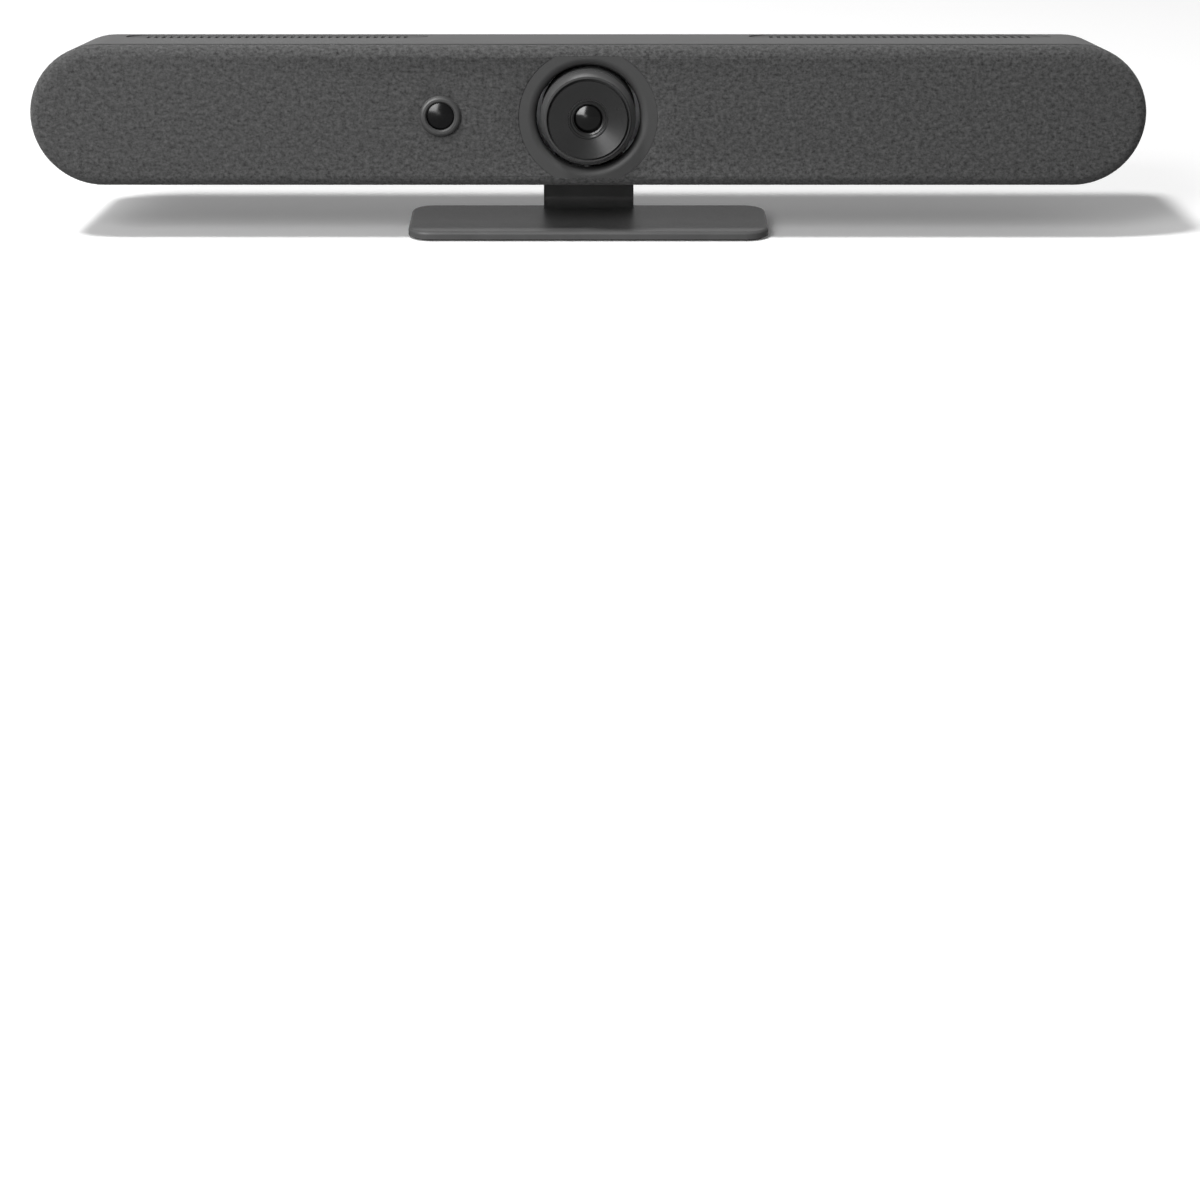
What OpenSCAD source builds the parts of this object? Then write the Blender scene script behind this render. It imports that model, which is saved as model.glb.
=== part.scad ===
// Video bar for a meeting room: a wide fabric-fronted bar on a bent table stand,
// with a camera eye that pans and tilts in the middle of the front.
// Millimetres. X runs along the bar, Y from front to back, Z up.
// The origin is under the middle of the whole, on the table.

/* [Bar] */
// Width of the bar over its round ends
bar_w = 721; // [680:1:800]
// Height of the bar at the seam
bar_h = 91; // [89:1:100]
// Depth of the bar from the fabric to the rear wall
shell_depth = 96; // [92:1:110]
// Radius of the rounded edge round the fabric front
nose_r = 7; // [5:0.5:9]
// Taper of the rear housing on every side, in degrees
draft = 6; // [4:0.5:7]
// Radius of the rear edge of the housing
rear_edge_r = 5; // [3:0.5:7]
// Wall of the rear housing
housing_wall = 2.4; // [2:0.1:3]
// Rear wall of the rear housing
rear_wall = 2.6; // [2:0.1:3]
// Thickness of the stretched fabric
cover_t = 0.8; // [0.5:0.1:1.2]
// Depth of the fabric rim behind the front
cover_len = 8.6; // [8:0.2:10]
// Width of the dark seam between fabric and housing
seam_w = 1.2; // [0.8:0.1:2]
// Wall of the front frame
frame_wall = 2.2; // [1.8:0.1:2.6]
// Length of the tongue of the frame inside the housing
tongue_len = 5; // [4:0.5:8]
// Wall of that tongue
tongue_wall = 1.8; // [1.4:0.1:2.2]

/* [Table stand] */
// Width of the foot plate
foot_w = 236.8; // [200:1:280]
// Depth of the foot plate
foot_d = 76; // [70:1:90]
// Thickness of the bent plate
plate_t = 5; // [4:0.5:6]
// Corner radius of the foot plate
foot_r = 15; // [10:1:20]
// Radius of its softened upper edge
foot_edge_r = 2; // [1:0.25:2.5]
// Width of the neck
neck_w = 60.3; // [50:0.5:70]
// Inner radius of the bends
bend_r = 7; // [6:0.5:8]
// Free height between the foot plate and the underside of the bar
under_gap = 30.5; // [28:0.5:36]
// Thickness of the rubber pad
pad_t = 1.5; // [1:0.1:2]
// Inset of the pad from the edge of the foot plate
pad_inset = 3; // [2:0.5:6]
// Reach of the top flange ahead of the neck bend
flange_len = 20.5; // [16:0.5:21]
// Rise of the flange top over the lowest line of the bar
flange_rise = 3; // [2:0.5:4]
// Set-back of the foot plate from the fabric front
foot_set_back = 2.5; // [0:0.5:6]

/* [Camera eye] */
// Radius of the camera ball
eye_r = 33; // [32.5:0.1:33.5]
// Radius to which the sides of the ball are turned down
drum_r = 30.6; // [30.4:0.1:31]
// How far the ring of the eye stands ahead of the fabric
eye_ahead = 8; // [6:0.5:9]
// Outer radius of the front lip of the eye
lip_r = 27.2; // [26.8:0.1:28]
// Width of the flat lip
lip_w = 0.5; // [0.3:0.1:1]
// Wall of the camera ball
eye_wall = 2; // [1.6:0.1:2.4]
// Width of the dark groove inside the lip
groove_w = 1.5; // [1:0.1:2]
// Depth of that groove
groove_d = 2.4; // [2:0.1:3]
// Distance from the ball centre to its open back
eye_back = 16; // [14:0.5:18]
// Radius of the lens opening in the face
lens_opening_r = 12.9; // [12:0.1:13.5]
// Radius of the front glass
glass_r = 9.2; // [8.5:0.1:9.6]
// Pan to each side, in degrees
pan_limit = 25; // [15:1:25]
// Tilt up and down, in degrees
tilt_limit = 15; // [10:1:15]

/* [Bezel] */
// Radius of the bezel disc
bezel_r = 44.6; // [43:0.1:48]
// Half height at which the bezel is cut flat
bezel_half_h = 39.6; // [39:0.1:40]
// Thickness of the bezel disc
bezel_t = 0.8; // [0.6:0.1:1.2]
// Width of the rounded mouth, seen from the front
mouth_w = 5.6; // [4:0.1:6]
// Depth of the rounded mouth
mouth_d = 5; // [4:0.1:5.5]
// Play between ball and throat
throat_play = 0.4; // [0.3:0.05:0.8]
// Wall of the throat
throat_wall = 1.8; // [1.2:0.1:2]

/* [Viewfinder] */
// Distance from the middle of the bar
finder_x = 95.3; // [86:0.5:110]
// Height above the middle of the bar
finder_rise = 1.2; // [0:0.1:4]
// Outer radius of the ring
finder_r = 13.1; // [12:0.1:15]
// How far the ring stands ahead of the fabric
finder_ahead = 2.6; // [1.5:0.1:4]
// Radius of the glass
finder_glass_r = 8.9; // [8:0.1:9.5]

/* [Speakers] */
// Outer radius of the driver basket
basket_r = 36; // [32:0.5:37]
// Gap between each speaker box and the end of the bar
box_end_gap = 65.5; // [60:0.5:90]
// Wall of the speaker boxes
box_wall = 2.5; // [2:0.1:3]
// Radius of the cone at its wide end
cone_r = 25; // [22:0.5:26]
// Radius of the magnet
magnet_r = 23; // [20:0.5:25]
// Travel of the cone each way
cone_travel = 1.5; // [0.5:0.1:2]

/* [Ports and buttons] */
// Half width of the port bay
bay_half_w = 86; // [84:1:92]
// Height of the port bay
bay_h = 24; // [22:0.5:26]
// Depth of the port bay
bay_depth = 6; // [4:0.5:8]
// Thickness of the port panel
panel_t = 2; // [1.5:0.1:2.5]
// Radius of the buttons
button_r = 4; // [3:0.1:4.5]
// Travel of the buttons
button_travel = 0.6; // [0.3:0.1:0.7]

/* [Hidden] */

// Fits
over = 1;
touch = 0.05;
fit = 0.15;
seat = 0.3;
running = 0.05;
press = 0.02;
arc_steps = 6;
fine = 96;

// Frame of the bar
half_h = bar_h / 2;
half_straight = bar_w / 2 - half_h;
front_y = (eye_ahead - shell_depth) / 2;
rear_y = front_y + shell_depth;
bar_floor = pad_t + plate_t + under_gap;
mid_z = bar_floor + half_h;
cover_back_y = front_y + cover_len;
housing_y = cover_back_y + seam_w;
tongue_y = housing_y + tongue_len;
skin = cover_t + touch;
frame_back_y = front_y + skin + frame_wall;
rear_inner_y = rear_y - rear_wall;

function arc(c, r, a0, a1) =
    [for (i = [0:arc_steps]) let (a = a0 + (a1 - a0) * i / arc_steps) c + r * [cos(a), sin(a)]];
function mirrored(pts) = [for (i = [len(pts) - 1:-1:0]) [-pts[i][0], pts[i][1]]];
function housing_r(y) = half_h - (y - housing_y) * tan(draft);
function inside_r(y) = housing_r(y) - housing_wall / cos(draft);
tongue_r = inside_r(tongue_y) - fit;

// A solid whose cross-section, given as half height against depth, runs round the bar
module around_bar(pts) {
    last = len(pts) - 1;
    translate([-half_straight, 0, mid_z]) rotate([0, 90, 0])
        linear_extrude(2 * half_straight) polygon(concat(pts, mirrored(pts)));
    for (side = [-1, 1])
        translate([side * half_straight, 0, mid_z]) rotate([-90, 0, 0]) rotate([0, 0, -90 * side])
            rotate_extrude(angle = 180, $fn = fine)
                polygon(concat([[0, pts[0][1]]], pts, [[0, pts[last][1]]]));
}

// A turned piece whose outline is given as radius against distance ahead
module turned_ahead(pts) {
    rotate([90, 0, 0]) rotate_extrude($fn = fine) polygon(pts);
}

module rod_y(r, y0, y1) {
    translate([0, y0, 0]) rotate([-90, 0, 0]) cylinder(h = y1 - y0, r = r, $fn = fine);
}

module rod_x(r, x0, x1) {
    translate([x0, 0, 0]) rotate([0, 90, 0]) cylinder(h = x1 - x0, r = r, $fn = fine);
}

module block(x0, x1, y0, y1, z0, z1) {
    translate([x0, y0, z0]) cube([x1 - x0, y1 - y0, z1 - z0]);
}

// A plate with round corners in plan
module corner_plate(w, d, r, h) {
    translate([-w / 2 + r, -d / 2, 0]) cube([w - 2 * r, d, h]);
    translate([-w / 2, -d / 2 + r, 0]) cube([w, d - 2 * r, h]);
    for (sx = [-1, 1], sy = [-1, 1])
        translate([sx * (w / 2 - r), sy * (d / 2 - r), 0]) cylinder(h = h, r = r, $fn = fine);
}

// Front of the bar: fabric, frame and bezel

module bezel_outline(extra, y0, y1) {
    intersection() {
        rod_y(bezel_r + extra, y0, y1);
        block(-bezel_r - over, bezel_r + over, y0, y1, -bezel_half_h - extra, bezel_half_h + extra);
    }
}

finder_z = mid_z + finder_rise;
finder_step = 2;
finder_neck_r = finder_r - finder_step;
nose_c = [half_h - nose_r, front_y + nose_r];

module at_finder() {
    translate([-finder_x, 0, finder_z]) children();
}

module fabric_cover() {
    color("dimgray") difference() {
        around_bar(concat(arc(nose_c, nose_r, -90, 0), [[half_h, cover_back_y]]));
        around_bar(concat(arc(nose_c, nose_r - cover_t, -90, 0), [[half_h - cover_t, cover_back_y + over]]));
        translate([0, 0, mid_z]) bezel_outline(fit, front_y - over, front_y + skin + over);
        at_finder() rod_y(finder_neck_r + fit, front_y - over, front_y + skin + over);
    }
}

// Screw towers and bosses that hold the housing to the frame
tower_gap = 14;
tower_r = 4.5;
tower_bore_r = 3.3;
tower_floor = 2.4;
tower_reach = 16;
tower_y = housing_y + tower_reach;
tower_z = 20;
boss_r = 4;
screw_r = 1.45;
screw_len = 12;
screw_head_r = 2.8;
screw_head_h = 2;
button_gap = 14;
button_x = bay_half_w + button_gap;
tower_step = 21;
tower_x = button_x + tower_step;
box_inner_x = tower_x + tower_gap;
box_outer_x = bar_w / 2 - box_end_gap;
box_len = box_outer_x - box_inner_x;
driver_x = (box_inner_x + box_outer_x) / 2;
tower_xs = [tower_x, box_outer_x + tower_gap];

module at_towers() {
    for (sx = [-1, 1], x = tower_xs, sz = [-1, 1]) translate([sx * x, 0, mid_z + sz * tower_z]) children();
}

// Grille slots and microphone holes of the frame
slot_x0 = 62;
slot_pitch = 7;
slot_w = 4.5;
slot_h = 58;
slot_count = floor((box_outer_x - slot_x0) / slot_pitch);
slot_clear = 5;
mic_x0 = 70;
mic_count = 3;
mic_reach = 45;
mic_pitch = (driver_x - mic_reach - mic_x0) / (mic_count - 1);
mic_z = 35.5;
mic_hole_r = 0.8;
mouth_start = eye_r + throat_play + mouth_w;
bezel_step_r = mouth_start + throat_wall;
bezel_seat_inset = 2.3;
bezel_seat_h = bezel_half_h - bezel_seat_inset;

module front_frame() {
    lip_y = housing_y - touch;
    inner_r = half_h - skin - frame_wall;
    color("black") difference() {
        union() {
            difference() {
                around_bar(concat(arc(nose_c, nose_r - skin, -90, 0),
                    [[half_h - skin, lip_y], [tongue_r, lip_y], [tongue_r, tongue_y]]));
                around_bar(concat(arc(nose_c, nose_r - skin - frame_wall, -90, 0),
                    [[inner_r, lip_y - frame_wall], [tongue_r - tongue_wall, lip_y - frame_wall],
                     [tongue_r - tongue_wall, tongue_y + over]]));
            }
            at_towers() rod_y(boss_r, frame_back_y - touch, tower_y - touch);
        }
        at_towers() rod_y(screw_r + touch, tower_y - screw_len, tower_y + over);
        translate([0, 0, mid_z]) intersection() {
            rod_y(bezel_step_r + fit, front_y, frame_back_y + over);
            block(-bezel_r, bezel_r, front_y, frame_back_y + over, -bezel_seat_h - fit, bezel_seat_h + fit);
        }
        at_finder() rod_y(finder_neck_r + fit, front_y, frame_back_y + over);
        for (side = [-1, 1], i = [0:slot_count - 1])
            let (x = side * (slot_x0 + i * slot_pitch))
                if (abs(x + finder_x) > finder_r + slot_clear
                    && abs(abs(x) - tower_xs[0]) > boss_r + slot_clear)
                    translate([x, 0, mid_z])
                        block(-slot_w / 2, slot_w / 2, front_y, frame_back_y + over, -slot_h / 2, slot_h / 2);
        for (side = [-1, 1], i = [0:mic_count - 1])
            translate([side * (mic_x0 + i * mic_pitch), 0, mid_z + mic_z])
                rod_y(mic_hole_r, front_y, frame_back_y + over);
    }
}

mic_board_h = 5;
mic_board_t = 1.2;
mic_w = 4;
mic_t = 1.2;
mic_margin = 10;

module microphone_boards() {
    board_y = frame_back_y + touch;
    length = (mic_count - 1) * mic_pitch + 2 * mic_margin;
    color("darkgreen") for (side = [0, 1]) mirror([side, 0, 0])
        translate([mic_x0 - mic_margin, board_y, mid_z + mic_z]) {
            block(0, length, 0, mic_board_t, -mic_board_h / 2, mic_board_h / 2);
            for (i = [0:mic_count - 1]) translate([mic_margin + i * mic_pitch, mic_board_t / 2, 0])
                block(-mic_w / 2, mic_w / 2, 0, mic_board_t / 2 + mic_t, -mic_w / 2, mic_w / 2);
        }
}

// Bezel with its rounded mouth round the eye
throat_r = eye_r + throat_play;
throat_tail = 0.6;
throat_end = mouth_d + throat_tail;

module camera_bezel() {
    back_w = mouth_w - throat_wall;
    back_d = mouth_d - throat_wall;
    angles = [for (i = [0:2 * arc_steps]) 90 * i / (2 * arc_steps)];
    outline = concat([[bezel_r, 0]],
        [for (a = angles) [mouth_start - mouth_w * sin(a), mouth_d * (1 - cos(a))]],
        [[throat_r, throat_end], [throat_r + throat_wall, throat_end]],
        [for (a = angles) [mouth_start - back_w * cos(a), mouth_d - back_d * sin(a)]],
        [[bezel_step_r, throat_wall], [bezel_step_r, bezel_t], [bezel_r, bezel_t]]);
    color("dimgray") translate([0, front_y, mid_z]) difference() {
        rotate([-90, 0, 0]) rotate_extrude($fn = fine) polygon(outline);
        for (side = [0, 1]) mirror([0, 0, side]) {
            block(-bezel_r - over, bezel_r + over, -over, bezel_r, bezel_half_h, bezel_r + over);
            block(-bezel_r - over, bezel_r + over, bezel_t, bezel_r, bezel_seat_h, bezel_r + over);
        }
    }
}

// Table stand
foot_front_y = front_y + foot_set_back;
foot_back_y = foot_front_y + foot_d;
foot_mid_y = (foot_front_y + foot_back_y) / 2;
plate_top = pad_t + plate_t;
bend_y = foot_back_y - plate_t - bend_r;
flange_top = bar_floor + flange_rise;
upper_bend_z = flange_top - plate_t - bend_r;
stand_screw_x = 18;
stand_screw_y = bend_y - flange_len / 2;
stand_screw_r = 1.95;
stand_hole_r = 2.2;
insert_r = 3;
insert_bore_r = 2;
insert_len = 5;
stand_head_r = 4;
stand_head_h = 2.6;
saddle_half_w = 66;
saddle_lead = 1;
saddle_y0 = bend_y - flange_len - saddle_lead;
saddle_tail = 3.5;
saddle_y1 = foot_back_y + saddle_tail;
chassis_flange_y = 32;
saddle_top = max(flange_top + insert_len + 2 * fit, mid_z - inside_r(chassis_flange_y));
accessory_x = 54;

// A plate whose upper edge is rounded, with round corners in plan
module soft_plate(w, d, r, h, e) {
    edge = concat([[0, 0]], [for (i = [0:arc_steps]) let (a = 90 * i / arc_steps)
        [e * (1 - cos(a)), h - e + e * sin(a)]]);
    across = concat([for (p = edge) [w / 2 - p[0], p[1]]], mirrored([for (p = edge) [w / 2 - p[0], p[1]]]));
    along = concat([for (p = edge) [d / 2 - p[0], p[1]]], mirrored([for (p = edge) [d / 2 - p[0], p[1]]]));
    translate([0, d / 2 - r, 0]) rotate([90, 0, 0]) linear_extrude(d - 2 * r) polygon(across);
    translate([-w / 2 + r, 0, 0]) rotate([90, 0, 90]) linear_extrude(w - 2 * r) polygon(along);
    for (sx = [-1, 1], sy = [-1, 1]) translate([sx * (w / 2 - r), sy * (d / 2 - r), 0])
        rotate_extrude($fn = fine) polygon(concat([[0, 0]], [for (p = edge) [r - p[0], p[1]]], [[0, h]]));
}

// A quarter bend of the plate round an axis along X
module bend(z, start) {
    translate([-neck_w / 2, bend_y, z]) rotate([90, 0, 90]) rotate([0, 0, start])
        rotate_extrude(angle = 90, $fn = fine) translate([bend_r, 0]) square([plate_t, neck_w]);
}

module stand_plate() {
    color("dimgray") difference() {
        union() {
            translate([0, foot_mid_y, pad_t]) soft_plate(foot_w, foot_d, foot_r, plate_t, foot_edge_r);
            bend(plate_top + bend_r, -90);
            block(-neck_w / 2, neck_w / 2, bend_y + bend_r, foot_back_y, plate_top + bend_r, upper_bend_z);
            bend(upper_bend_z, 0);
            block(-neck_w / 2, neck_w / 2, bend_y - flange_len, bend_y, flange_top - plate_t, flange_top);
        }
        for (side = [-1, 1]) translate([side * stand_screw_x, stand_screw_y, flange_top - plate_t - over])
            cylinder(h = plate_t + 2 * over, r = stand_hole_r, $fn = fine);
    }
}

module stand_pad() {
    color("black") translate([0, foot_mid_y, 0])
        corner_plate(foot_w - 2 * pad_inset, foot_d - 2 * pad_inset, foot_r - pad_inset, pad_t);
}

module stand_screws() {
    color("silver") for (side = [-1, 1])
        translate([side * stand_screw_x, stand_screw_y, flange_top - plate_t]) {
            translate([0, 0, -stand_head_h]) difference() {
                cylinder(h = stand_head_h, r = stand_head_r, $fn = fine);
                translate([0, 0, -over])
                    cylinder(h = over + stand_head_h / 2, r = stand_screw_r / 2, $fn = 6);
            }
            cylinder(h = plate_t + insert_len, r = stand_screw_r, $fn = fine);
        }
}

module threaded_inserts() {
    color("gold") for (p = [[stand_screw_x, stand_screw_y], [accessory_x, stand_screw_y]], side = [-1, 1])
        translate([side * p[0], p[1], flange_top + fit]) difference() {
            cylinder(h = insert_len, r = insert_r - press, $fn = fine);
            translate([0, 0, -over]) cylinder(h = insert_len + 2 * over, r = insert_bore_r, $fn = fine);
        }
}

// Rear housing
vent_lead = 29;
vent_x0 = box_inner_x - vent_lead;
vent_tail = 11;
vent_x1 = box_outer_x + vent_tail;
vent_y0 = 17;
vent_y1 = 44;
vent_sink = 0.8;
vent_slot_w = 2.6;
vent_slot_pitch = 5;
vent_rim = 3.5;
rear_slot_w = 2.6;
rear_slot_pitch = 6;
rear_slot_h = 18;
rear_slot_z = 17;
rear_slot_count = 25;
bay_top = -3;
bay_z0 = mid_z + bay_top - bay_h;
button_drop = 6;
button_pitch = 14;
button_zs = [mid_z - button_drop, mid_z - button_drop - button_pitch];
flange_over = 1.2;
peg_r = 1.5;
peg_dx = 6;
button_board_depth = 9;
board_back_y = rear_y - button_board_depth;

// Frame of a vent strip, tilted to lie in the sloping top of the housing
module at_vents() {
    for (side = [0, 1]) mirror([side, 0, 0])
        translate([(vent_x0 + vent_x1) / 2, vent_y0, mid_z + housing_r(vent_y0)]) rotate([-draft, 0, 0])
            translate([0, (vent_y1 - vent_y0) / 2, 0]) children();
}

vent_w = vent_x1 - vent_x0;
vent_d = vent_y1 - vent_y0;

module rear_housing() {
    edge_y = rear_y - rear_edge_r * (1 - sin(draft));
    edge_c = [housing_r(edge_y) - rear_edge_r * cos(draft), rear_y - rear_edge_r];
    color("gray") difference() {
        union() {
            difference() {
                around_bar(concat([[half_h, housing_y]], arc(edge_c, rear_edge_r, draft, 90)));
                around_bar([[inside_r(housing_y - over), housing_y - over],
                    [inside_r(rear_inner_y), rear_inner_y]]);
            }
            block(-saddle_half_w, saddle_half_w, saddle_y0, saddle_y1, flange_top, saddle_top);
            at_towers() rod_y(tower_r, tower_y, rear_inner_y + touch);
            for (side = [-1, 1])
                translate([button_x + side * peg_dx, 0, (button_zs[0] + button_zs[1]) / 2])
                    rod_y(peg_r, board_back_y + touch, rear_inner_y + touch);
        }
        at_towers() {
            rod_y(tower_bore_r, tower_y + tower_floor, rear_y + over);
            rod_y(screw_r + fit, tower_y - over, rear_y);
        }
        block(-bay_half_w, bay_half_w, rear_inner_y - over, rear_y + over, bay_z0, bay_z0 + bay_h);
        for (z = button_zs) translate([button_x, 0, z])
            rod_y(button_r + fit, rear_inner_y - over, rear_y + over);
        at_vents() translate([0, 0, -2 * housing_wall])
            corner_plate(vent_w, vent_d, vent_d / 2 - fit, 3 * housing_wall);
        for (i = [0:rear_slot_count - 1])
            translate([(i - (rear_slot_count - 1) / 2) * rear_slot_pitch, 0, mid_z + rear_slot_z])
                block(-rear_slot_w / 2, rear_slot_w / 2, rear_inner_y - over, rear_y + over,
                    -rear_slot_h / 2, rear_slot_h / 2);
        for (x = [stand_screw_x, accessory_x], side = [-1, 1])
            translate([side * x, stand_screw_y, flange_top - over])
                cylinder(h = insert_len + 2 * fit + over, r = insert_r, $fn = fine);
    }
}

module vent_grilles() {
    plate_h = housing_wall - vent_sink;
    count = floor((vent_w - vent_d) / vent_slot_pitch) + 1;
    color("black") at_vents() translate([0, 0, -housing_wall]) difference() {
        corner_plate(vent_w - 2 * fit, vent_d - 2 * fit, vent_d / 2 - 2 * fit, plate_h);
        for (i = [0:count - 1]) translate([(i - (count - 1) / 2) * vent_slot_pitch, 0, 0])
            block(-vent_slot_w / 2, vent_slot_w / 2, -vent_d / 2 + vent_rim, vent_d / 2 - vent_rim,
                -over, plate_h + over);
    }
}

// Ports: the panel is a shallow tray, and each connector stands on the port board behind it
tray_wall = 1.6;
panel_y = rear_y - bay_depth;
board_t = 1.6;
port_rise = 2.6;
port_top = bay_z0 + port_rise;
net_x_share = -0.56;
net_x = net_x_share * bay_half_w;
net_w = 15.5;
net_h = 13.4;
net_d = 20;
net_side = 1.5;
net_floor = 2.5;
net_roof = 2;
net_latch_floor = 1;
net_depth = 14.8;
inlet_x_share = -0.81;
inlet_x = inlet_x_share * bay_half_w;
inlet_w = 11;
inlet_h = 12;
inlet_d = 14;
inlet_bore_r = 3.3;
inlet_pin_r = 1.2;
usb_x_shares = [-0.325, -0.115, 0.095];
usb_xs = usb_x_shares * bay_half_w;
usb_w = 14.2;
usb_h = 7;
usb_d = 17;
usb_tongue_w = 12.2;
usb_c_x_share = 0.255;
usb_c_x = usb_c_x_share * bay_half_w;
usb_c_w = 9.2;
usb_c_h = 3.4;
usb_c_d = 9;
hdmi_x_shares = [0.42, 0.63, 0.84];
hdmi_xs = hdmi_x_shares * bay_half_w;
hdmi_w = 14.6;
hdmi_h = 5.8;
hdmi_d = 12;
shell_t = 0.5;
mouth_y = panel_y + touch;

// Width, height and place of every connector window
windows = concat([[inlet_x, inlet_w, inlet_h], [net_x, net_w, net_h], [usb_c_x, usb_c_w, usb_c_h]],
    [for (x = usb_xs) [x, usb_w, usb_h]], [for (x = hdmi_xs) [x, hdmi_w, hdmi_h]]);

module port_panel() {
    back_y = panel_y - panel_t;
    color("black") difference() {
        union() {
            block(-bay_half_w + touch, bay_half_w - touch, back_y, rear_y - touch,
                bay_z0 + touch, bay_z0 + bay_h - touch);
            block(-bay_half_w - flange_over, bay_half_w + flange_over, back_y, rear_inner_y - touch,
                bay_z0 - flange_over, bay_z0 + bay_h + flange_over);
        }
        block(-bay_half_w + tray_wall, bay_half_w - tray_wall, panel_y, rear_y + over,
            bay_z0 + tray_wall, bay_z0 + bay_h - tray_wall);
        for (w = windows) translate([w[0], 0, port_top])
            block(-w[1] / 2 - fit, w[1] / 2 + fit, back_y - over, panel_y + over, -fit, w[2] + fit);
    }
}

// An open metal connector shell with a contact tongue
module socket(x, w, h, d, tongue_w, tongue_t) {
    translate([x, mouth_y, port_top]) {
        difference() {
            block(-w / 2, w / 2, -d, 0, touch, h);
            block(-w / 2 + shell_t, w / 2 - shell_t, -d + 2 * shell_t, over, touch + shell_t, h - shell_t);
        }
        block(-tongue_w / 2, tongue_w / 2, -d + shell_t, -shell_t, (h - tongue_t) / 2, (h + tongue_t) / 2);
    }
}

module network_jack() {
    latch_w = net_w / 3;
    color("silver") translate([net_x, mouth_y, port_top]) difference() {
        block(-net_w / 2, net_w / 2, -net_d, 0, touch, net_h);
        block(-net_w / 2 + net_side, net_w / 2 - net_side, -net_depth, over, net_floor, net_h - net_roof);
        block(-latch_w / 2, latch_w / 2, -net_depth, over, net_latch_floor, net_h / 2);
    }
}

module power_inlet() {
    color("black") translate([inlet_x, mouth_y, port_top]) {
        difference() {
            block(-inlet_w / 2, inlet_w / 2, -inlet_d, 0, touch, inlet_h);
            translate([0, 0, inlet_h / 2]) rod_y(inlet_bore_r, -inlet_d + inlet_bore_r, over);
        }
        translate([0, 0, inlet_h / 2]) rod_y(inlet_pin_r, -inlet_d + inlet_bore_r / 2, -shell_t);
    }
}

module usb_ports() {
    color("silver") for (x = usb_xs) socket(x, usb_w, usb_h, usb_d, usb_tongue_w, usb_h / 3);
}

module usb_c_port() {
    color("silver") socket(usb_c_x, usb_c_w, usb_c_h, usb_c_d, usb_c_w / 2, usb_c_h / 4);
}

module hdmi_ports() {
    color("silver") for (x = hdmi_xs) socket(x, hdmi_w, hdmi_h, hdmi_d, hdmi_w / 2, hdmi_h / 4);
}

// Boards and the metal chassis
chassis_y = -1.5;
chassis_t = 2;
chassis_margin = 14;
chassis_half_w = bay_half_w + chassis_margin;
chassis_top = 36;
chassis_flange_half_w = 62;
chassis_floor = saddle_top + touch;
chassis_back_y = chassis_y + chassis_t;
standoff_h = 5;
standoff_r = 2.5;
main_board_y = chassis_back_y + standoff_h;
main_margin = 8;
main_half_w = chassis_half_w - main_margin;
main_drop = 30;
main_rise = 32;
main_z0 = mid_z - main_drop;
main_z1 = mid_z + main_rise;
chip_w = 38;
chip_t = 2.4;
chip_rise = 15;
chip_z = mid_z + chip_rise;
sink_half_w = 50;
sink_base = 3;
sink_depth = 20;
sink_drop = 3;
sink_z0 = mid_z - sink_drop;
sink_z1 = main_z1;
fin_t = 1.2;
fin_count = 21;
port_board_y0 = 11;
post_inset = 30;
post_xs = [post_inset - bay_half_w, bay_half_w - post_inset];
post_ys = [14, 28];

module chassis() {
    color("silver") {
        block(-chassis_half_w, chassis_half_w, chassis_y, chassis_back_y, chassis_floor, mid_z + chassis_top);
        block(-chassis_flange_half_w, chassis_flange_half_w, chassis_y, chassis_flange_y,
            chassis_floor, chassis_floor + chassis_t);
    }
}

module board_standoffs() {
    inset = 2 * standoff_r;
    color("gold") for (x = [-main_half_w + inset, 0, main_half_w - inset],
        z = [main_z0 + inset, main_z1 - inset])
        translate([x, 0, z]) rod_y(standoff_r, chassis_back_y + touch, main_board_y - touch);
}

module main_board() {
    color("darkgreen")
        block(-main_half_w, main_half_w, main_board_y, main_board_y + board_t, main_z0, main_z1);
}

module processor() {
    y0 = main_board_y + board_t + touch;
    color("dimgray") block(-chip_w / 2, chip_w / 2, y0, y0 + chip_t, chip_z - chip_w / 3, chip_z + chip_w / 3);
}

module heat_sink() {
    y0 = main_board_y + board_t + chip_t + 2 * touch;
    pitch = (2 * sink_half_w - fin_t) / (fin_count - 1);
    color("silver") {
        block(-sink_half_w, sink_half_w, y0, y0 + sink_base, sink_z0, sink_z1);
        for (i = [0:fin_count - 1]) translate([-sink_half_w + i * pitch, 0, 0])
            block(0, fin_t, y0 + sink_base - touch, y0 + sink_depth, sink_z0, sink_z1);
    }
}

module port_board() {
    color("darkgreen") block(-bay_half_w + tray_wall, bay_half_w - tray_wall, port_board_y0,
        panel_y - panel_t - touch, port_top - board_t, port_top);
}

module port_board_posts() {
    z0 = chassis_floor + chassis_t + touch;
    color("gold") for (x = post_xs, y = post_ys) translate([x, y, z0])
        cylinder(h = port_top - board_t - touch - z0, r = standoff_r, $fn = fine);
}

// Buttons on the back, each over a switch on its own small board
button_flange_t = 1.2;
button_sink = 0.4;
button_dish_r = 20;
button_dish_d = 0.25;
stem_len = 1.4;
switch_gap = 0.7;
switch_w = 5;
button_board_half_w = 8;
button_back_y = rear_inner_y - fit;

module button(z) {
    color("gray") translate([button_x, 0, z]) {
        difference() {
            rod_y(button_r, button_back_y - touch, rear_y - button_sink);
            translate([0, rear_y - button_sink - button_dish_d + button_dish_r, 0])
                sphere(r = button_dish_r, $fn = fine);
        }
        rod_y(button_r + flange_over, button_back_y - button_flange_t, button_back_y);
        rod_y(peg_r, button_back_y - button_flange_t - stem_len, button_back_y - button_flange_t + touch);
    }
}

module power_button() {
    button(button_zs[0]);
}

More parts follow.
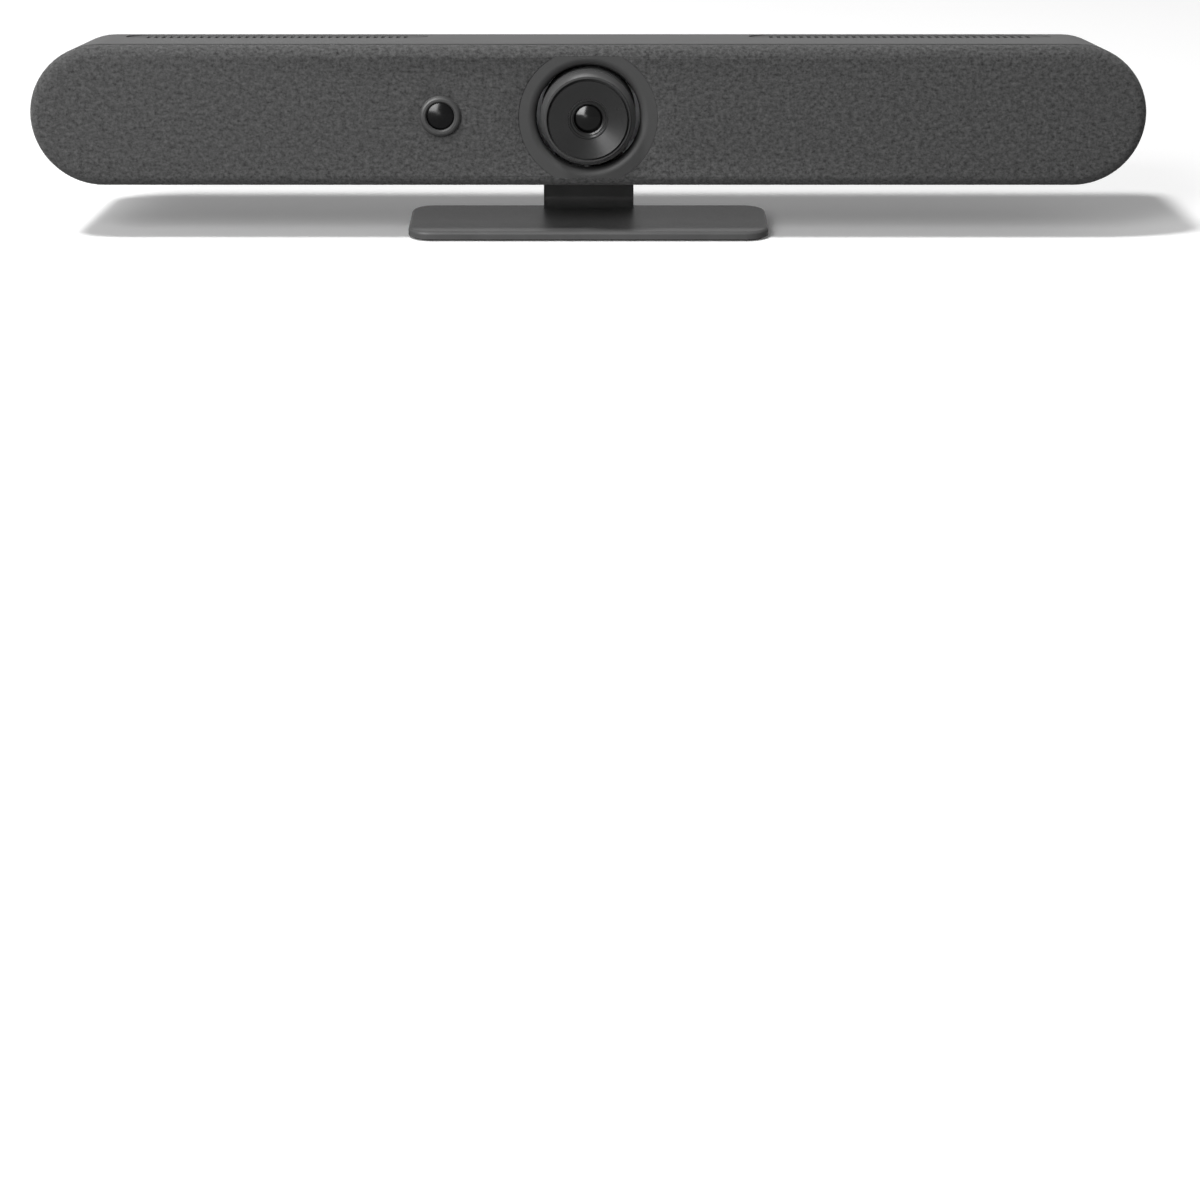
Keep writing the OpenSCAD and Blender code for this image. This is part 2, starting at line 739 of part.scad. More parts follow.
module pairing_button() {
    button(button_zs[1]);
}

module button_board() {
    stem_y = button_back_y - button_flange_t - stem_len;
    mid = (button_zs[0] + button_zs[1]) / 2;
    half = (button_zs[0] - button_zs[1]) / 2 + switch_w;
    color("darkgreen") {
        block(button_x - button_board_half_w, button_x + button_board_half_w,
            board_back_y - board_t, board_back_y, mid - half, mid + half);
        for (z = button_zs) translate([button_x, 0, z])
            block(-switch_w / 2, switch_w / 2, board_back_y - touch, stem_y - switch_gap,
                -switch_w / 2, switch_w / 2);
    }
}

// Speakers: sealed boxes behind the grille, each with one driver
box_set_back = 10;
box_y0 = housing_y + box_set_back;
box_clear = 12;
box_y1 = rear_y - box_clear;
box_play = 1.5;
driver_lap = 3;
driver_hole_r = basket_r - driver_lap;
basket_ring_t = 3;
basket_wall = 1.8;
basket_land = 4.7;
magnet_depth = 20;
magnet_t = 14;
magnet_y0 = box_y0 + magnet_depth;
magnet_y1 = magnet_y0 + magnet_t;
coil_r = 10.4;
coil_t = 0.6;
pole_r = 9.3;
coil_gap_r = 11;
cone_t = 0.8;
cone_ahead = 1.6;
cone_front = box_y0 - cone_ahead;
cone_depth = 12.6;
cone_neck_y = cone_front + cone_depth;
coil_len = 11.5;
coil_end_y = cone_neck_y + coil_len;
cap_rise = 3.2;
surround_t = 0.6;
surround_r0 = cone_r + touch;
surround_r1 = basket_r - basket_land - seat;
mount_r = 6;
mount_inset = 20;
mount_dx = box_len / 2 - mount_inset;
mount_z = 20;
gasket_t = 2.2;
basket_window_w = 16;

module at_driver(side) {
    translate([side * driver_x, 0, mid_z]) children();
}

module drafted_box(x0, x1, y0, y1, h0, h1) {
    translate([x0, 0, 0]) rotate([0, 90, 0])
        linear_extrude(x1 - x0) polygon([[-h0, y0], [h0, y0], [h1, y1], [-h1, y1]]);
}

module turned_y(pts) {
    rotate([-90, 0, 0]) rotate_extrude($fn = fine) polygon(pts);
}

module speaker_box(side) {
    h0 = inside_r(box_y0) - box_play;
    h1 = inside_r(box_y1) - box_play;
    color("black") at_driver(side) difference() {
        drafted_box(-box_len / 2, box_len / 2, box_y0, box_y1, h0, h1);
        drafted_box(-box_len / 2 + box_wall, box_len / 2 - box_wall, box_y0 + box_wall, box_y1 - box_wall,
            h0 - box_wall, h1 - box_wall);
        rod_y(driver_hole_r, box_y0 - over, box_y0 + box_wall + over);
    }
}

module driver_basket(side) {
    f0 = box_y0 - touch - basket_ring_t;
    f1 = box_y0 - touch;
    land_r = basket_r - basket_land;
    foot_r1 = magnet_r + basket_wall / 2;
    color("dimgray") at_driver(side) difference() {
        turned_y([[land_r, f0], [basket_r, f0], [basket_r, f1], [land_r + basket_wall - fit, f1],
            [foot_r1, magnet_y0 - basket_wall - touch], [foot_r1, magnet_y0 - touch],
            [coil_gap_r + basket_wall, magnet_y0 - touch],
            [coil_gap_r + basket_wall, magnet_y0 - basket_wall - touch],
            [foot_r1 - basket_wall, magnet_y0 - basket_wall - touch], [land_r, f1 + cone_travel]]);
        for (a = [45:90:315]) rotate([0, a, 0])
            block(-basket_window_w / 2, basket_window_w / 2, f1 + basket_wall, magnet_y0 - 2 * basket_wall,
                magnet_r / 2, basket_r);
    }
}

module driver_magnet(side) {
    color("gray") at_driver(side) difference() {
        rod_y(magnet_r, magnet_y0, magnet_y1);
        difference() {
            rod_y(coil_gap_r, magnet_y0 - over, magnet_y0 + magnet_t / 2);
            rod_y(pole_r, magnet_y0 - 2 * over, magnet_y1);
        }
    }
}

module speaker_cone(side) {
    color("dimgray") at_driver(side) turned_y(concat(
        [[0, cone_neck_y - cap_rise - cone_t]],
        [for (i = [1:arc_steps - 1]) let (a = 90 * i / arc_steps)
            [coil_r * sin(a), cone_neck_y - cone_t - cap_rise * cos(a)]],
        [[cone_r, cone_front - cone_t], [cone_r, cone_front], [coil_r, cone_neck_y],
         [coil_r, coil_end_y], [coil_r - coil_t, coil_end_y], [coil_r - coil_t, cone_neck_y],
         [0, cone_neck_y - cap_rise]]));
}

module cone_surround(side) {
    mid_r = (surround_r0 + surround_r1) / 2;
    roll = (surround_r1 - surround_r0) / 2;
    steps = [for (i = [0:2 * arc_steps]) 180 * i / (2 * arc_steps)];
    color("black") at_driver(side) turned_y(concat(
        [for (a = steps) [mid_r + roll * cos(a), cone_front - roll * sin(a)]],
        [for (a = steps) [mid_r - (roll - surround_t) * cos(a), cone_front - (roll - surround_t) * sin(a)]]));
}

module speaker_box_left() {
    speaker_box(-1);
}

module speaker_box_right() {
    speaker_box(1);
}

module driver_basket_left() {
    driver_basket(-1);
}

module driver_basket_right() {
    driver_basket(1);
}

module driver_magnet_left() {
    driver_magnet(-1);
}

module driver_magnet_right() {
    driver_magnet(1);
}

module speaker_cone_left() {
    speaker_cone(-1);
}

module speaker_cone_right() {
    speaker_cone(1);
}

module cone_surround_left() {
    cone_surround(-1);
}

module cone_surround_right() {
    cone_surround(1);
}

module speaker_gaskets() {
    y0 = frame_back_y + touch;
    y1 = box_y0 - basket_ring_t - 2 * touch;
    color("black") for (side = [-1, 1]) at_driver(side) difference() {
        rod_y(basket_r - fit, y0, y1);
        rod_y(basket_r - fit - gasket_t, y0 - over, y1 + over);
    }
}

module rubber_mounts() {
    color("black") for (side = [-1, 1]) at_driver(side)
        for (sx = [-1, 1], sz = [-1, 1]) translate([sx * mount_dx, 0, sz * mount_z])
            rod_y(mount_r, box_y1 + touch, rear_inner_y - touch);
}

module housing_screws() {
    head_y = tower_y + tower_floor + touch;
    color("silver") at_towers() difference() {
        union() {
            rod_y(screw_head_r, head_y, head_y + screw_head_h);
            rod_y(screw_r, tower_y + tower_floor - screw_len, head_y + touch);
        }
        translate([0, head_y + screw_head_h / 2, 0]) rotate([-90, 0, 0])
            cylinder(h = screw_head_h, r = screw_head_r / 2, $fn = 6);
    }
}

// Camera eye: a hollow ball on a cross shaft, carried by a yoke that turns on an upright stem
lip_ahead = sqrt(eye_r * eye_r - lip_r * lip_r);
eye_y = front_y - eye_ahead + lip_ahead;
web_front = lip_ahead - groove_d;
web_t = 1.5;
web_back = web_front - web_t;
web_r = 23;
ball_inner_r = eye_r - eye_wall;
drum_inner_r = drum_r - eye_wall;
face_r = lip_r - lip_w - groove_w;
face_sink = 0.3;
face_dish = 1.8;
face_t = 1.6;
stem_r = 2.5;
yoke_post_r = 3.5;
gear_gap = 1.2;
pan_gear_t = 2.2;
pan_gear_top = -eye_r - gear_gap;
pan_gear_bottom = pan_gear_top - pan_gear_t;
bush_flange_t = 0.5;
bracket_t = 2;
bracket_top = pan_gear_bottom - seat - bush_flange_t;
bracket_bottom = bracket_top - bracket_t;
stem_tail = 0.48;
stem_end = bracket_bottom - stem_tail;
arm_x0 = 18.5;
arm_x1 = 21.5;
arm_half = 4.2;
arm_boss_r = 4.8;
yoke_floor_top = -15;
yoke_floor_bottom = -17.5;
pin_r = 2;
pin_x0 = 18;
boss_x0 = 24.8;
pin_inset = 2.2;
pin_x1 = drum_r - pin_inset;
pin_boss_r = 4.2;
slot_half_x = yoke_post_r + 2 * seat;
slot_half_y = yoke_post_r / cos(tilt_limit) + eye_r * tan(tilt_limit) + seat;
slot_top = 2 * seat - min(sqrt(ball_inner_r * ball_inner_r - slot_half_y * slot_half_y),
    sqrt(drum_inner_r * drum_inner_r - slot_half_x * slot_half_x));

module at_eye() {
    translate([0, eye_y, mid_z]) children();
}

module eye_shell() {
    color("dimgray") at_eye() difference() {
        union() {
            difference() {
                intersection() {
                    sphere(r = eye_r, $fn = fine);
                    rod_y(drum_r, -eye_r - over, eye_r + over);
                }
                intersection() {
                    sphere(r = ball_inner_r, $fn = fine);
                    rod_y(drum_inner_r, -web_back, eye_r + over);
                }
            }
            for (side = [0, 1]) mirror([side, 0, 0]) rod_x(pin_boss_r, boss_x0, drum_inner_r + eye_wall / 4);
        }
        rod_y(lip_r - lip_w, -eye_r - over, -web_front);
        rod_y(web_r, -eye_r - over, -web_back + over);
        block(-eye_r - over, eye_r + over, -eye_r - over, -lip_ahead, -eye_r - over, eye_r + over);
        block(-eye_r - over, eye_r + over, eye_back, eye_r + over, -eye_r - over, eye_r + over);
        block(-slot_half_x, slot_half_x, -slot_half_y, slot_half_y, -eye_r - over, slot_top);
        rod_x(pin_r + press, -pin_x1 - fit, pin_x1 + fit);
    }
}

module eye_face() {
    face_edge = lip_ahead - face_sink;
    throat = face_edge - face_dish;
    color("black") at_eye() turned_ahead([[face_r, web_front + touch], [face_r, face_edge],
        [lens_opening_r, throat], [lens_opening_r, throat - face_t], [web_r - fit, throat - face_t],
        [web_r - fit, web_front + touch]]);
}

holder_t = 2.1;
holder_r = sqrt(ball_inner_r * ball_inner_r - web_back * web_back) - seat;
lens_play = 0.2;
barrel_r = lens_opening_r - lens_play;
barrel_flange_r = 15;
barrel_flange_t = 2;
barrel_sink = 2.5;
barrel_front = lip_ahead - barrel_sink;
barrel_back = -3;
barrel_bore_r = 8;
ring_step = 0.8;
iris_r = 2.6;
iris_back = 3;
inner_lens_r = 7.8;
inner_seat = 5.6;
inner_lens_t = 1.6;
inner_rise = 2.2;

module lens_holder() {
    color("dimgray") at_eye() difference() {
        rod_y(holder_r, -web_back + touch, -web_back + touch + holder_t);
        rod_y(barrel_r + fit, -web_back - over, -web_back + holder_t + over);
    }
}

module lens_barrel() {
    flange_front = web_back - 2 * touch - holder_t;
    glass_seat = barrel_front - 2 * ring_step;
    iris_front = iris_back + ring_step;
    color("black") at_eye() turned_ahead([[iris_r, barrel_back], [barrel_r - seat, barrel_back],
        [barrel_r - seat, flange_front - barrel_flange_t], [barrel_flange_r, flange_front - barrel_flange_t],
        [barrel_flange_r, flange_front], [barrel_r, flange_front], [barrel_r, barrel_front],
        [barrel_r - ring_step, barrel_front], [barrel_r - 2 * ring_step, barrel_front - ring_step],
        [barrel_r - 3 * ring_step, barrel_front - ring_step], [glass_r + fit, glass_seat],
        [glass_r + fit, glass_seat - 3 * ring_step], [barrel_bore_r, glass_seat - 3 * ring_step],
        [barrel_bore_r, inner_seat], [inner_lens_r - ring_step, inner_seat],
        [inner_lens_r - ring_step, iris_front], [iris_r + ring_step, iris_front], [iris_r, iris_back]]);
}

glass_rise = 2.6;

module lens_glass() {
    back = barrel_front - 5 * ring_step + touch;
    dome_r = (glass_r * glass_r + glass_rise * glass_rise) / (2 * glass_rise);
    apex = barrel_front - ring_step;
    color("darkslategray") at_eye() intersection() {
        rod_y(glass_r, -apex - over, -back);
        translate([0, dome_r - apex, 0]) sphere(r = dome_r, $fn = fine);
    }
}

module inner_lens() {
    back = inner_seat + touch;
    apex = back + inner_lens_t + inner_rise;
    dome_r = (inner_lens_r * inner_lens_r + inner_rise * inner_rise) / (2 * inner_rise);
    color("darkslategray") at_eye() intersection() {
        rod_y(inner_lens_r, -apex - over, -back);
        translate([0, dome_r - apex, 0]) sphere(r = dome_r, $fn = fine);
    }
}

sensor_half_w = 12;
sensor_z0 = -9;
sensor_z1 = 11;

module sensor_board() {
    color("darkgreen") at_eye() block(-sensor_half_w, sensor_half_w, -barrel_back + touch,
        -barrel_back + touch + board_t, sensor_z0, sensor_z1);
}

// Straight-flanked teeth with play at the flanks
root_half_share = 0.25;
tip_half_share = 0.1;
tip_height_share = 0.8;
root_depth_share = 1.15;

function gear_points(teeth, module_size, turn, tooth_list) =
    let (r = teeth * module_size / 2, p = 360 / teeth,
         tip = r + tip_height_share * module_size, root = r - root_depth_share * module_size)
    [for (i = tooth_list, q = [[root, -root_half_share], [tip, -tip_half_share], [tip, tip_half_share],
                               [root, root_half_share]])
        let (a = turn + (i + q[1]) * p) q[0] * [cos(a), sin(a)]];

pan_module = 0.8;
pan_teeth = 48;
pan_pinion_teeth = 12;
pan_centre = (pan_teeth + pan_pinion_teeth) * pan_module / 2;
tilt_module = 0.6;
tilt_teeth = 34;
tilt_pinion_teeth = 10;
tilt_centre = (tilt_teeth + tilt_pinion_teeth) * tilt_module / 2;
tilt_motor_angle = -35;
shaft_r = 1;
pan_motor_r = 4;
pan_motor_h = 6.4;
tilt_motor_r = 3.4;
tilt_motor_len = 10.3;
hub_r = 4.6;
sector_teeth = 7;
motor_bore_share = 0.8;
shelf_t = 0.8;
shelf_half_w = 7;

// Side outline of a yoke arm, from the floor of the yoke up round the pin
function arm_outline() = concat([[-arm_half, yoke_floor_bottom], [arm_half, yoke_floor_bottom]],
    arc([0, 0], arm_boss_r, -acos(arm_half / arm_boss_r), 180 + acos(arm_half / arm_boss_r)));

module pan_yoke() {
    tip = tilt_centre * [cos(tilt_motor_angle), sin(tilt_motor_angle)];
    color("silver") at_eye() difference() {
        union() {
            translate([0, 0, stem_end]) cylinder(h = pan_gear_top + over - stem_end, r = stem_r, $fn = fine);
            translate([0, 0, pan_gear_top + touch])
                cylinder(h = yoke_floor_bottom + over - pan_gear_top, r = yoke_post_r, $fn = fine);
            block(-arm_x0 - touch, arm_x0 + touch, -arm_half + touch, arm_half - touch,
                yoke_floor_bottom + touch, yoke_floor_top);
            across_x(-arm_x1, -arm_x0) polygon(arm_outline());
            across_x(arm_x0, arm_x1) polygon(arm_outline());
            across_x(arm_x0 + touch, arm_x1 - touch) polygon(concat(
                arc([0, 0], arm_half, tilt_motor_angle + 90, tilt_motor_angle + 270),
                arc(tip, arm_half, tilt_motor_angle - 90, tilt_motor_angle + 90)));
        }
        rod_x(pin_r + running, -arm_x1 - over, arm_x1 + over);
        rotate([tilt_motor_angle, 0, 0]) translate([0, tilt_centre, 0])
            rod_x(shaft_r + seat, arm_x0 - over, arm_x1 + over);
    }
}

module pan_gear() {
    list = [for (i = [-sector_teeth:sector_teeth]) i];
    root = pan_teeth * pan_module / 2 - root_depth_share * pan_module;
    color("white") at_eye() translate([0, 0, pan_gear_bottom]) difference() {
        union() {
            linear_extrude(pan_gear_t) polygon(concat([[0, 0]],
                gear_points(pan_teeth, pan_module, 90, list)));
            cylinder(h = pan_gear_t, r = hub_r, $fn = fine);
        }
        translate([0, 0, -over]) cylinder(h = pan_gear_t + 2 * over, r = stem_r + press, $fn = fine);
    }
}

module pan_pinion() {
    list = [for (i = [0:pan_pinion_teeth - 1]) i + 0.5];
    color("white") at_eye() translate([0, pan_centre, pan_gear_bottom]) {
        linear_extrude(pan_gear_t) polygon(gear_points(pan_pinion_teeth, pan_module, -90, list));
        cylinder(h = pan_gear_t + gear_gap + pan_motor_h / 2, r = shaft_r, $fn = fine);
    }
}

module pan_motor() {
    z0 = pan_gear_top + 2 * touch + shelf_t + touch;
    color("silver") at_eye() translate([0, pan_centre, z0]) difference() {
        cylinder(h = pan_motor_h, r = pan_motor_r, $fn = fine);
        translate([0, 0, -over])
            cylinder(h = over + pan_motor_h * motor_bore_share, r = shaft_r + running, $fn = fine);
    }
}

module camera_bracket() {
    z_shelf = pan_gear_top + 2 * touch;
    flange_t = 1.9;
    back = chassis_y - touch - eye_y;
    half_w = 22;
    flange_top_z = -24;
    front_reach = 6;
    color("silver") at_eye() difference() {
        union() {
            block(-half_w, half_w, -front_reach, back, bracket_bottom, bracket_top);
            block(-half_w, half_w, back - flange_t, back, bracket_bottom, flange_top_z);
            block(-shelf_half_w, shelf_half_w, pan_centre - pan_motor_r, back - flange_t + touch,
                z_shelf, z_shelf + shelf_t);
        }
        translate([0, 0, bracket_bottom - over])
            cylinder(h = bracket_t + 2 * over, r = stem_r + 2 * bush_flange_t + press, $fn = fine);
        translate([0, pan_centre, z_shelf - over])
            cylinder(h = shelf_t + 2 * over, r = shaft_r + seat, $fn = fine);
    }
}

module pan_bushing() {
    color("gold") at_eye() difference() {
        union() {
            translate([0, 0, bracket_bottom])
                cylinder(h = bracket_t + bush_flange_t, r = stem_r + 2 * bush_flange_t, $fn = fine);
            translate([0, 0, bracket_top])
                cylinder(h = bush_flange_t, r = stem_r + 4 * bush_flange_t, $fn = fine);
        }
        translate([0, 0, bracket_bottom - over])
            cylinder(h = bracket_t + bush_flange_t + 2 * over, r = stem_r + running, $fn = fine);
    }
}

module tilt_pins() {
    color("silver") at_eye() for (side = [0, 1]) mirror([side, 0, 0]) rod_x(pin_r, pin_x0, pin_x1);
}

tilt_gear_x0 = 22.2;
tilt_gear_x1 = 24.4;

// Turns a flat outline so that it stands across X
module across_x(x0, x1) {
    translate([x0, 0, 0]) rotate([90, 0, 90]) linear_extrude(x1 - x0) children();
}

module tilt_gear() {
    list = [for (i = [0:tilt_teeth - 1]) i];
    color("white") at_eye() difference() {
        union() {
            across_x(tilt_gear_x0, tilt_gear_x1)
                polygon(gear_points(tilt_teeth, tilt_module, tilt_motor_angle, list));
            rod_x(hub_r, arm_x1 + seat, tilt_gear_x1 + seat);
        }
        rod_x(pin_r + press, arm_x1, tilt_gear_x1 + over);
    }
}

module tilt_pinion() {
    list = [for (i = [0:tilt_pinion_teeth - 1]) i + 0.5];
    color("white") at_eye() rotate([tilt_motor_angle, 0, 0]) translate([0, tilt_centre, 0]) {
        across_x(tilt_gear_x0, tilt_gear_x1)
            polygon(gear_points(tilt_pinion_teeth, tilt_module, 180, list));
        rod_x(shaft_r, arm_x0 - tilt_motor_len / 2, tilt_gear_x1);
    }
}

module tilt_motor() {
    color("silver") at_eye() rotate([tilt_motor_angle, 0, 0]) translate([0, tilt_centre, 0]) difference() {
        rod_x(tilt_motor_r, arm_x0 - touch - tilt_motor_len, arm_x0 - touch);
        rod_x(shaft_r + running, arm_x0 - tilt_motor_len * motor_bore_share, arm_x0 + over);
    }
}

// Viewfinder: a small fixed second camera
finder_neck_over = 1.5;
finder_neck_end = frame_back_y + finder_neck_over;
finder_edge = 0.9;
finder_barrel_r = 10;
finder_barrel_len = 14;
finder_bore_share = 0.7;
finder_low_share = 0.35;
finder_high_share = 1.4;
finder_board_half = 12;

module finder_ring() {
    bore_r = finder_glass_r + fit;
    back = front_y - touch;
    tip = front_y - finder_ahead;
    color("dimgray") at_finder() turned_y(concat(
        [[bore_r, front_y + finder_edge], [bore_r, tip + finder_edge], [bore_r + finder_edge, tip]],
        [[finder_r - finder_edge * 2, tip], [finder_r - finder_edge, tip + finder_edge * finder_low_share],
         [finder_r, tip + finder_edge * finder_high_share], [finder_r, back],
         [finder_neck_r, back], [finder_neck_r, finder_neck_end],
         [bore_r - finder_edge, finder_neck_end], [bore_r - finder_edge, front_y + finder_edge]]));
}

module finder_glass() {
    rise = 2;
    dome_r = (finder_glass_r * finder_glass_r + rise * rise) / (2 * rise);
    apex = front_y - finder_ahead + touch;
    color("darkslategray") at_finder() intersection() {
        rod_y(finder_glass_r, apex - over, front_y + finder_edge - touch);
        translate([0, apex + dome_r, 0]) sphere(r = dome_r, $fn = fine);
    }
}

module finder_barrel() {
    y0 = finder_neck_end + touch;
    color("black") at_finder() difference() {
        rod_y(finder_barrel_r, y0, y0 + finder_barrel_len);
        rod_y(finder_barrel_r * finder_bore_share, y0 - over, y0 + finder_barrel_len - 2 * finder_edge);
    }
}

module finder_board() {
    y0 = finder_neck_end + finder_barrel_len + 2 * touch;
    color("darkgreen") at_finder() block(-finder_board_half, finder_board_half, y0, y0 + board_t,
        -finder_board_half, finder_board_half);
}

fabric_cover();
front_frame();
camera_bezel();
rear_housing();
vent_grilles();
port_panel();
chassis();
main_board();
board_standoffs();
processor();
heat_sink();
port_board();
port_board_posts();
power_inlet();
network_jack();
usb_ports();
usb_c_port();
hdmi_ports();
power_button();
pairing_button();
button_board();
speaker_box_left();
speaker_box_right();
driver_basket_left();
driver_basket_right();
driver_magnet_left();
driver_magnet_right();
speaker_cone_left();
speaker_cone_right();
cone_surround_left();
cone_surround_right();
speaker_gaskets();
rubber_mounts();
microphone_boards();
camera_bracket();
pan_bushing();
pan_yoke();
pan_gear();
pan_motor();
pan_pinion();
eye_shell();
eye_face();
lens_holder();
lens_barrel();
lens_glass();
inner_lens();
sensor_board();
tilt_pins();
tilt_gear();
tilt_motor();
tilt_pinion();
finder_ring();
finder_glass();
finder_barrel();
finder_board();
stand_plate();
stand_pad();
stand_screws();
housing_screws();
threaded_inserts();
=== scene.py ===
# Conference camera: a wide fabric-fronted video bar on a bent-plate table stand, with a
# motorised camera eye in the middle and a small fixed camera beside it.
# The mechanical model is loaded as the frame; this script gives every piece its real finish.
import math

import bmesh
import bpy
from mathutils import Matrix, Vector
from mathutils.geometry import delaunay_2d_cdt


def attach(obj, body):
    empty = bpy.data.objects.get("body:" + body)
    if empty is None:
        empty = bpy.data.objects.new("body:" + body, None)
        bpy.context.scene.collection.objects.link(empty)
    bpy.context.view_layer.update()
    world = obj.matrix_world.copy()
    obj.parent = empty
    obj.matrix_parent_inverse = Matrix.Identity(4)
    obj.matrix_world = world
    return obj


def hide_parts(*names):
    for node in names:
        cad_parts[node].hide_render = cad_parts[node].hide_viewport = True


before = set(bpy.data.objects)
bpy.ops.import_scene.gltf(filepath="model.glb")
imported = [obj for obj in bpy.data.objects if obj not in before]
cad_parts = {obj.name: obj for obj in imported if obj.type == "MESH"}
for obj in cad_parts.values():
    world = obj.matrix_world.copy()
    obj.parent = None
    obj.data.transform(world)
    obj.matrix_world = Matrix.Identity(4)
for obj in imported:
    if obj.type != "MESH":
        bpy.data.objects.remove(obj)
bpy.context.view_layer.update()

# ---- The studio table -------------------------------------------------------------------
# A white table seen by a long lens from the front and a little above, as a product
# photographer sets it: one soft overhead box, one tall box at the front left, and three white
# cards that give the highlights.


def linear(code):
    """The linear colour of an sRGB hex value."""
    parts = [int(code[i:i + 2], 16) / 255 for i in (1, 3, 5)]
    return [c / 12.92 if c <= 0.04045 else ((c + 0.055) / 1.055) ** 2.4 for c in parts] + [1.0]


def add(tree, kind, feeds=(), **settings):
    """One node with its settings; feeds gives the value or the socket for each of its inputs."""
    node = tree.nodes.new(kind)
    for name, value in settings.items():
        setattr(node, name, value)
    for name, source in dict(feeds).items():
        if isinstance(source, bpy.types.NodeSocket):
            tree.links.new(source, node.inputs[name])
        else:
            node.inputs[name].default_value = source
    return node


def link_object(name, data):
    piece = bpy.data.objects.new(name, data)
    bpy.context.scene.collection.objects.link(piece)
    return piece


def softbox(name, place, aim, width, height, power):
    """A lamp box at place that faces aim, with its size in metres and its power in watts."""
    lamp = bpy.data.lights.new(name, "AREA")
    lamp.shape = "RECTANGLE"
    lamp.size = width
    lamp.size_y = height
    lamp.energy = power
    box = link_object(name, lamp)
    box.location = place
    box.rotation_euler = (Vector(aim) - Vector(place)).to_track_quat("-Z", "Y").to_euler()
    return box


def reflector(name, place, aim, width, height, power):
    """A white card that shows only as a soft highlight in what is glossy."""
    card = softbox(name, place, aim, width, height, power)
    card.visible_diffuse = False
    card.visible_camera = False


view_lens = bpy.data.cameras.new("long_lens")
view_lens.sensor_width = 36.0
view_lens.lens = 96.0
camera = link_object("camera", view_lens)
camera.location = (0.00760, -2.08322, 0.51595)
camera.rotation_euler = (math.radians(90 - 20.570), 0, 0)
bpy.context.scene.camera = camera
bpy.context.scene.view_settings.view_transform = "Standard"

bar_middle = (0.0, 0.0, 0.08)
softbox("key_box", (-1.62, -1.38, 4.00), (0.0, 0.0, 0.05), 0.60, 0.60, 150.0)
softbox("left_box", (-1.45, -2.65, 1.75), bar_middle, 1.30, 1.50, 58.0)
reflector("reflector_card", (-0.90, -1.15, 0.80), bar_middle, 1.30, 1.20, 165.0)
reflector("top_card", (-0.18, 0.40, 1.25), (0.0, -0.05, 0.08), 0.90, 0.25, 4.0)
reflector("low_card", (-0.34, -1.50, 0.13), bar_middle, 0.34, 0.22, 2.4)


def seen_rays(tree):
    """1 for rays from the camera, off a gloss or through glass, and 0 for bounced light."""
    rays = add(tree, "ShaderNodeLightPath")
    seen = add(tree, "ShaderNodeMath", {0: rays.outputs["Is Camera Ray"],
                                        1: rays.outputs["Is Glossy Ray"]}, operation="MAXIMUM")
    return add(tree, "ShaderNodeMath", {0: seen.outputs[0], 1: rays.outputs["Is Transmission Ray"]},
               operation="MAXIMUM").outputs[0]


sky = bpy.data.worlds.new("studio")
sky.use_nodes = True
bpy.context.scene.world = sky
tree = sky.node_tree
glow = tree.nodes["Background"]
level = add(tree, "ShaderNodeMapRange", {"Value": seen_rays(tree), "To Min": 0.27, "To Max": 1.0})
glow.inputs["Color"].default_value = (1, 1, 1, 1)
tree.links.new(level.outputs["Result"], glow.inputs["Strength"])

table_mesh = bpy.data.meshes.new("table_top")
reach = 14.0
corners = [(-reach, -reach, 0), (reach, -reach, 0), (reach, reach, 0), (-reach, reach, 0)]
table_mesh.from_pydata(corners, [], [(0, 1, 2, 3)])
table_top = link_object("table_top", table_mesh)
paint = bpy.data.materials.new("white_table")
paint.use_nodes = True
tree = paint.node_tree
tree.nodes.clear()
seen = seen_rays(tree)
tone = add(tree, "ShaderNodeMapRange", {"Value": seen, "To Min": 0.20, "To Max": 1.0})
matt = add(tree, "ShaderNodeBsdfDiffuse", {"Color": tone.outputs["Result"]})
# A faint lift of its own fills the shadow a little.
lift = add(tree, "ShaderNodeEmission", {"Strength": 0.085})
dark = add(tree, "ShaderNodeEmission", {"Strength": 0.0})
shown = add(tree, "ShaderNodeMixShader", {0: seen, 1: dark.outputs[0], 2: lift.outputs[0]})
both = add(tree, "ShaderNodeAddShader", {0: matt.outputs[0], 1: shown.outputs[0]})
add(tree, "ShaderNodeOutputMaterial", {"Surface": both.outputs[0]})
table_mesh.materials.append(paint)

# ---- Table stand ------------------------------------------------------------------------
# One steel plate, bent twice and powder coated in graphite grey. A rubber pad is glued under
# its foot, and two zinc-plated socket screws hold its top flange to the bar.


def dress(finish, *names):
    """Gives the carried-over pieces of those names this finish."""
    for name in names:
        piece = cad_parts[name]
        if not piece.material_slots:
            piece.data.materials.append(finish)
        for place in piece.material_slots:
            place.material = finish


def start_finish(name, code, rough, metal=0.0):
    """A new finish: its material, node tree, shader, and the place on the object in metres."""
    finish = bpy.data.materials.new(name)
    finish.use_nodes = True
    tree = finish.node_tree
    shader = tree.nodes["Principled BSDF"]
    shader.inputs["Base Color"].default_value = linear(code)
    shader.inputs["Roughness"].default_value = rough
    shader.inputs["Metallic"].default_value = metal
    return finish, tree, shader, add(tree, "ShaderNodeTexCoord").outputs["Object"]


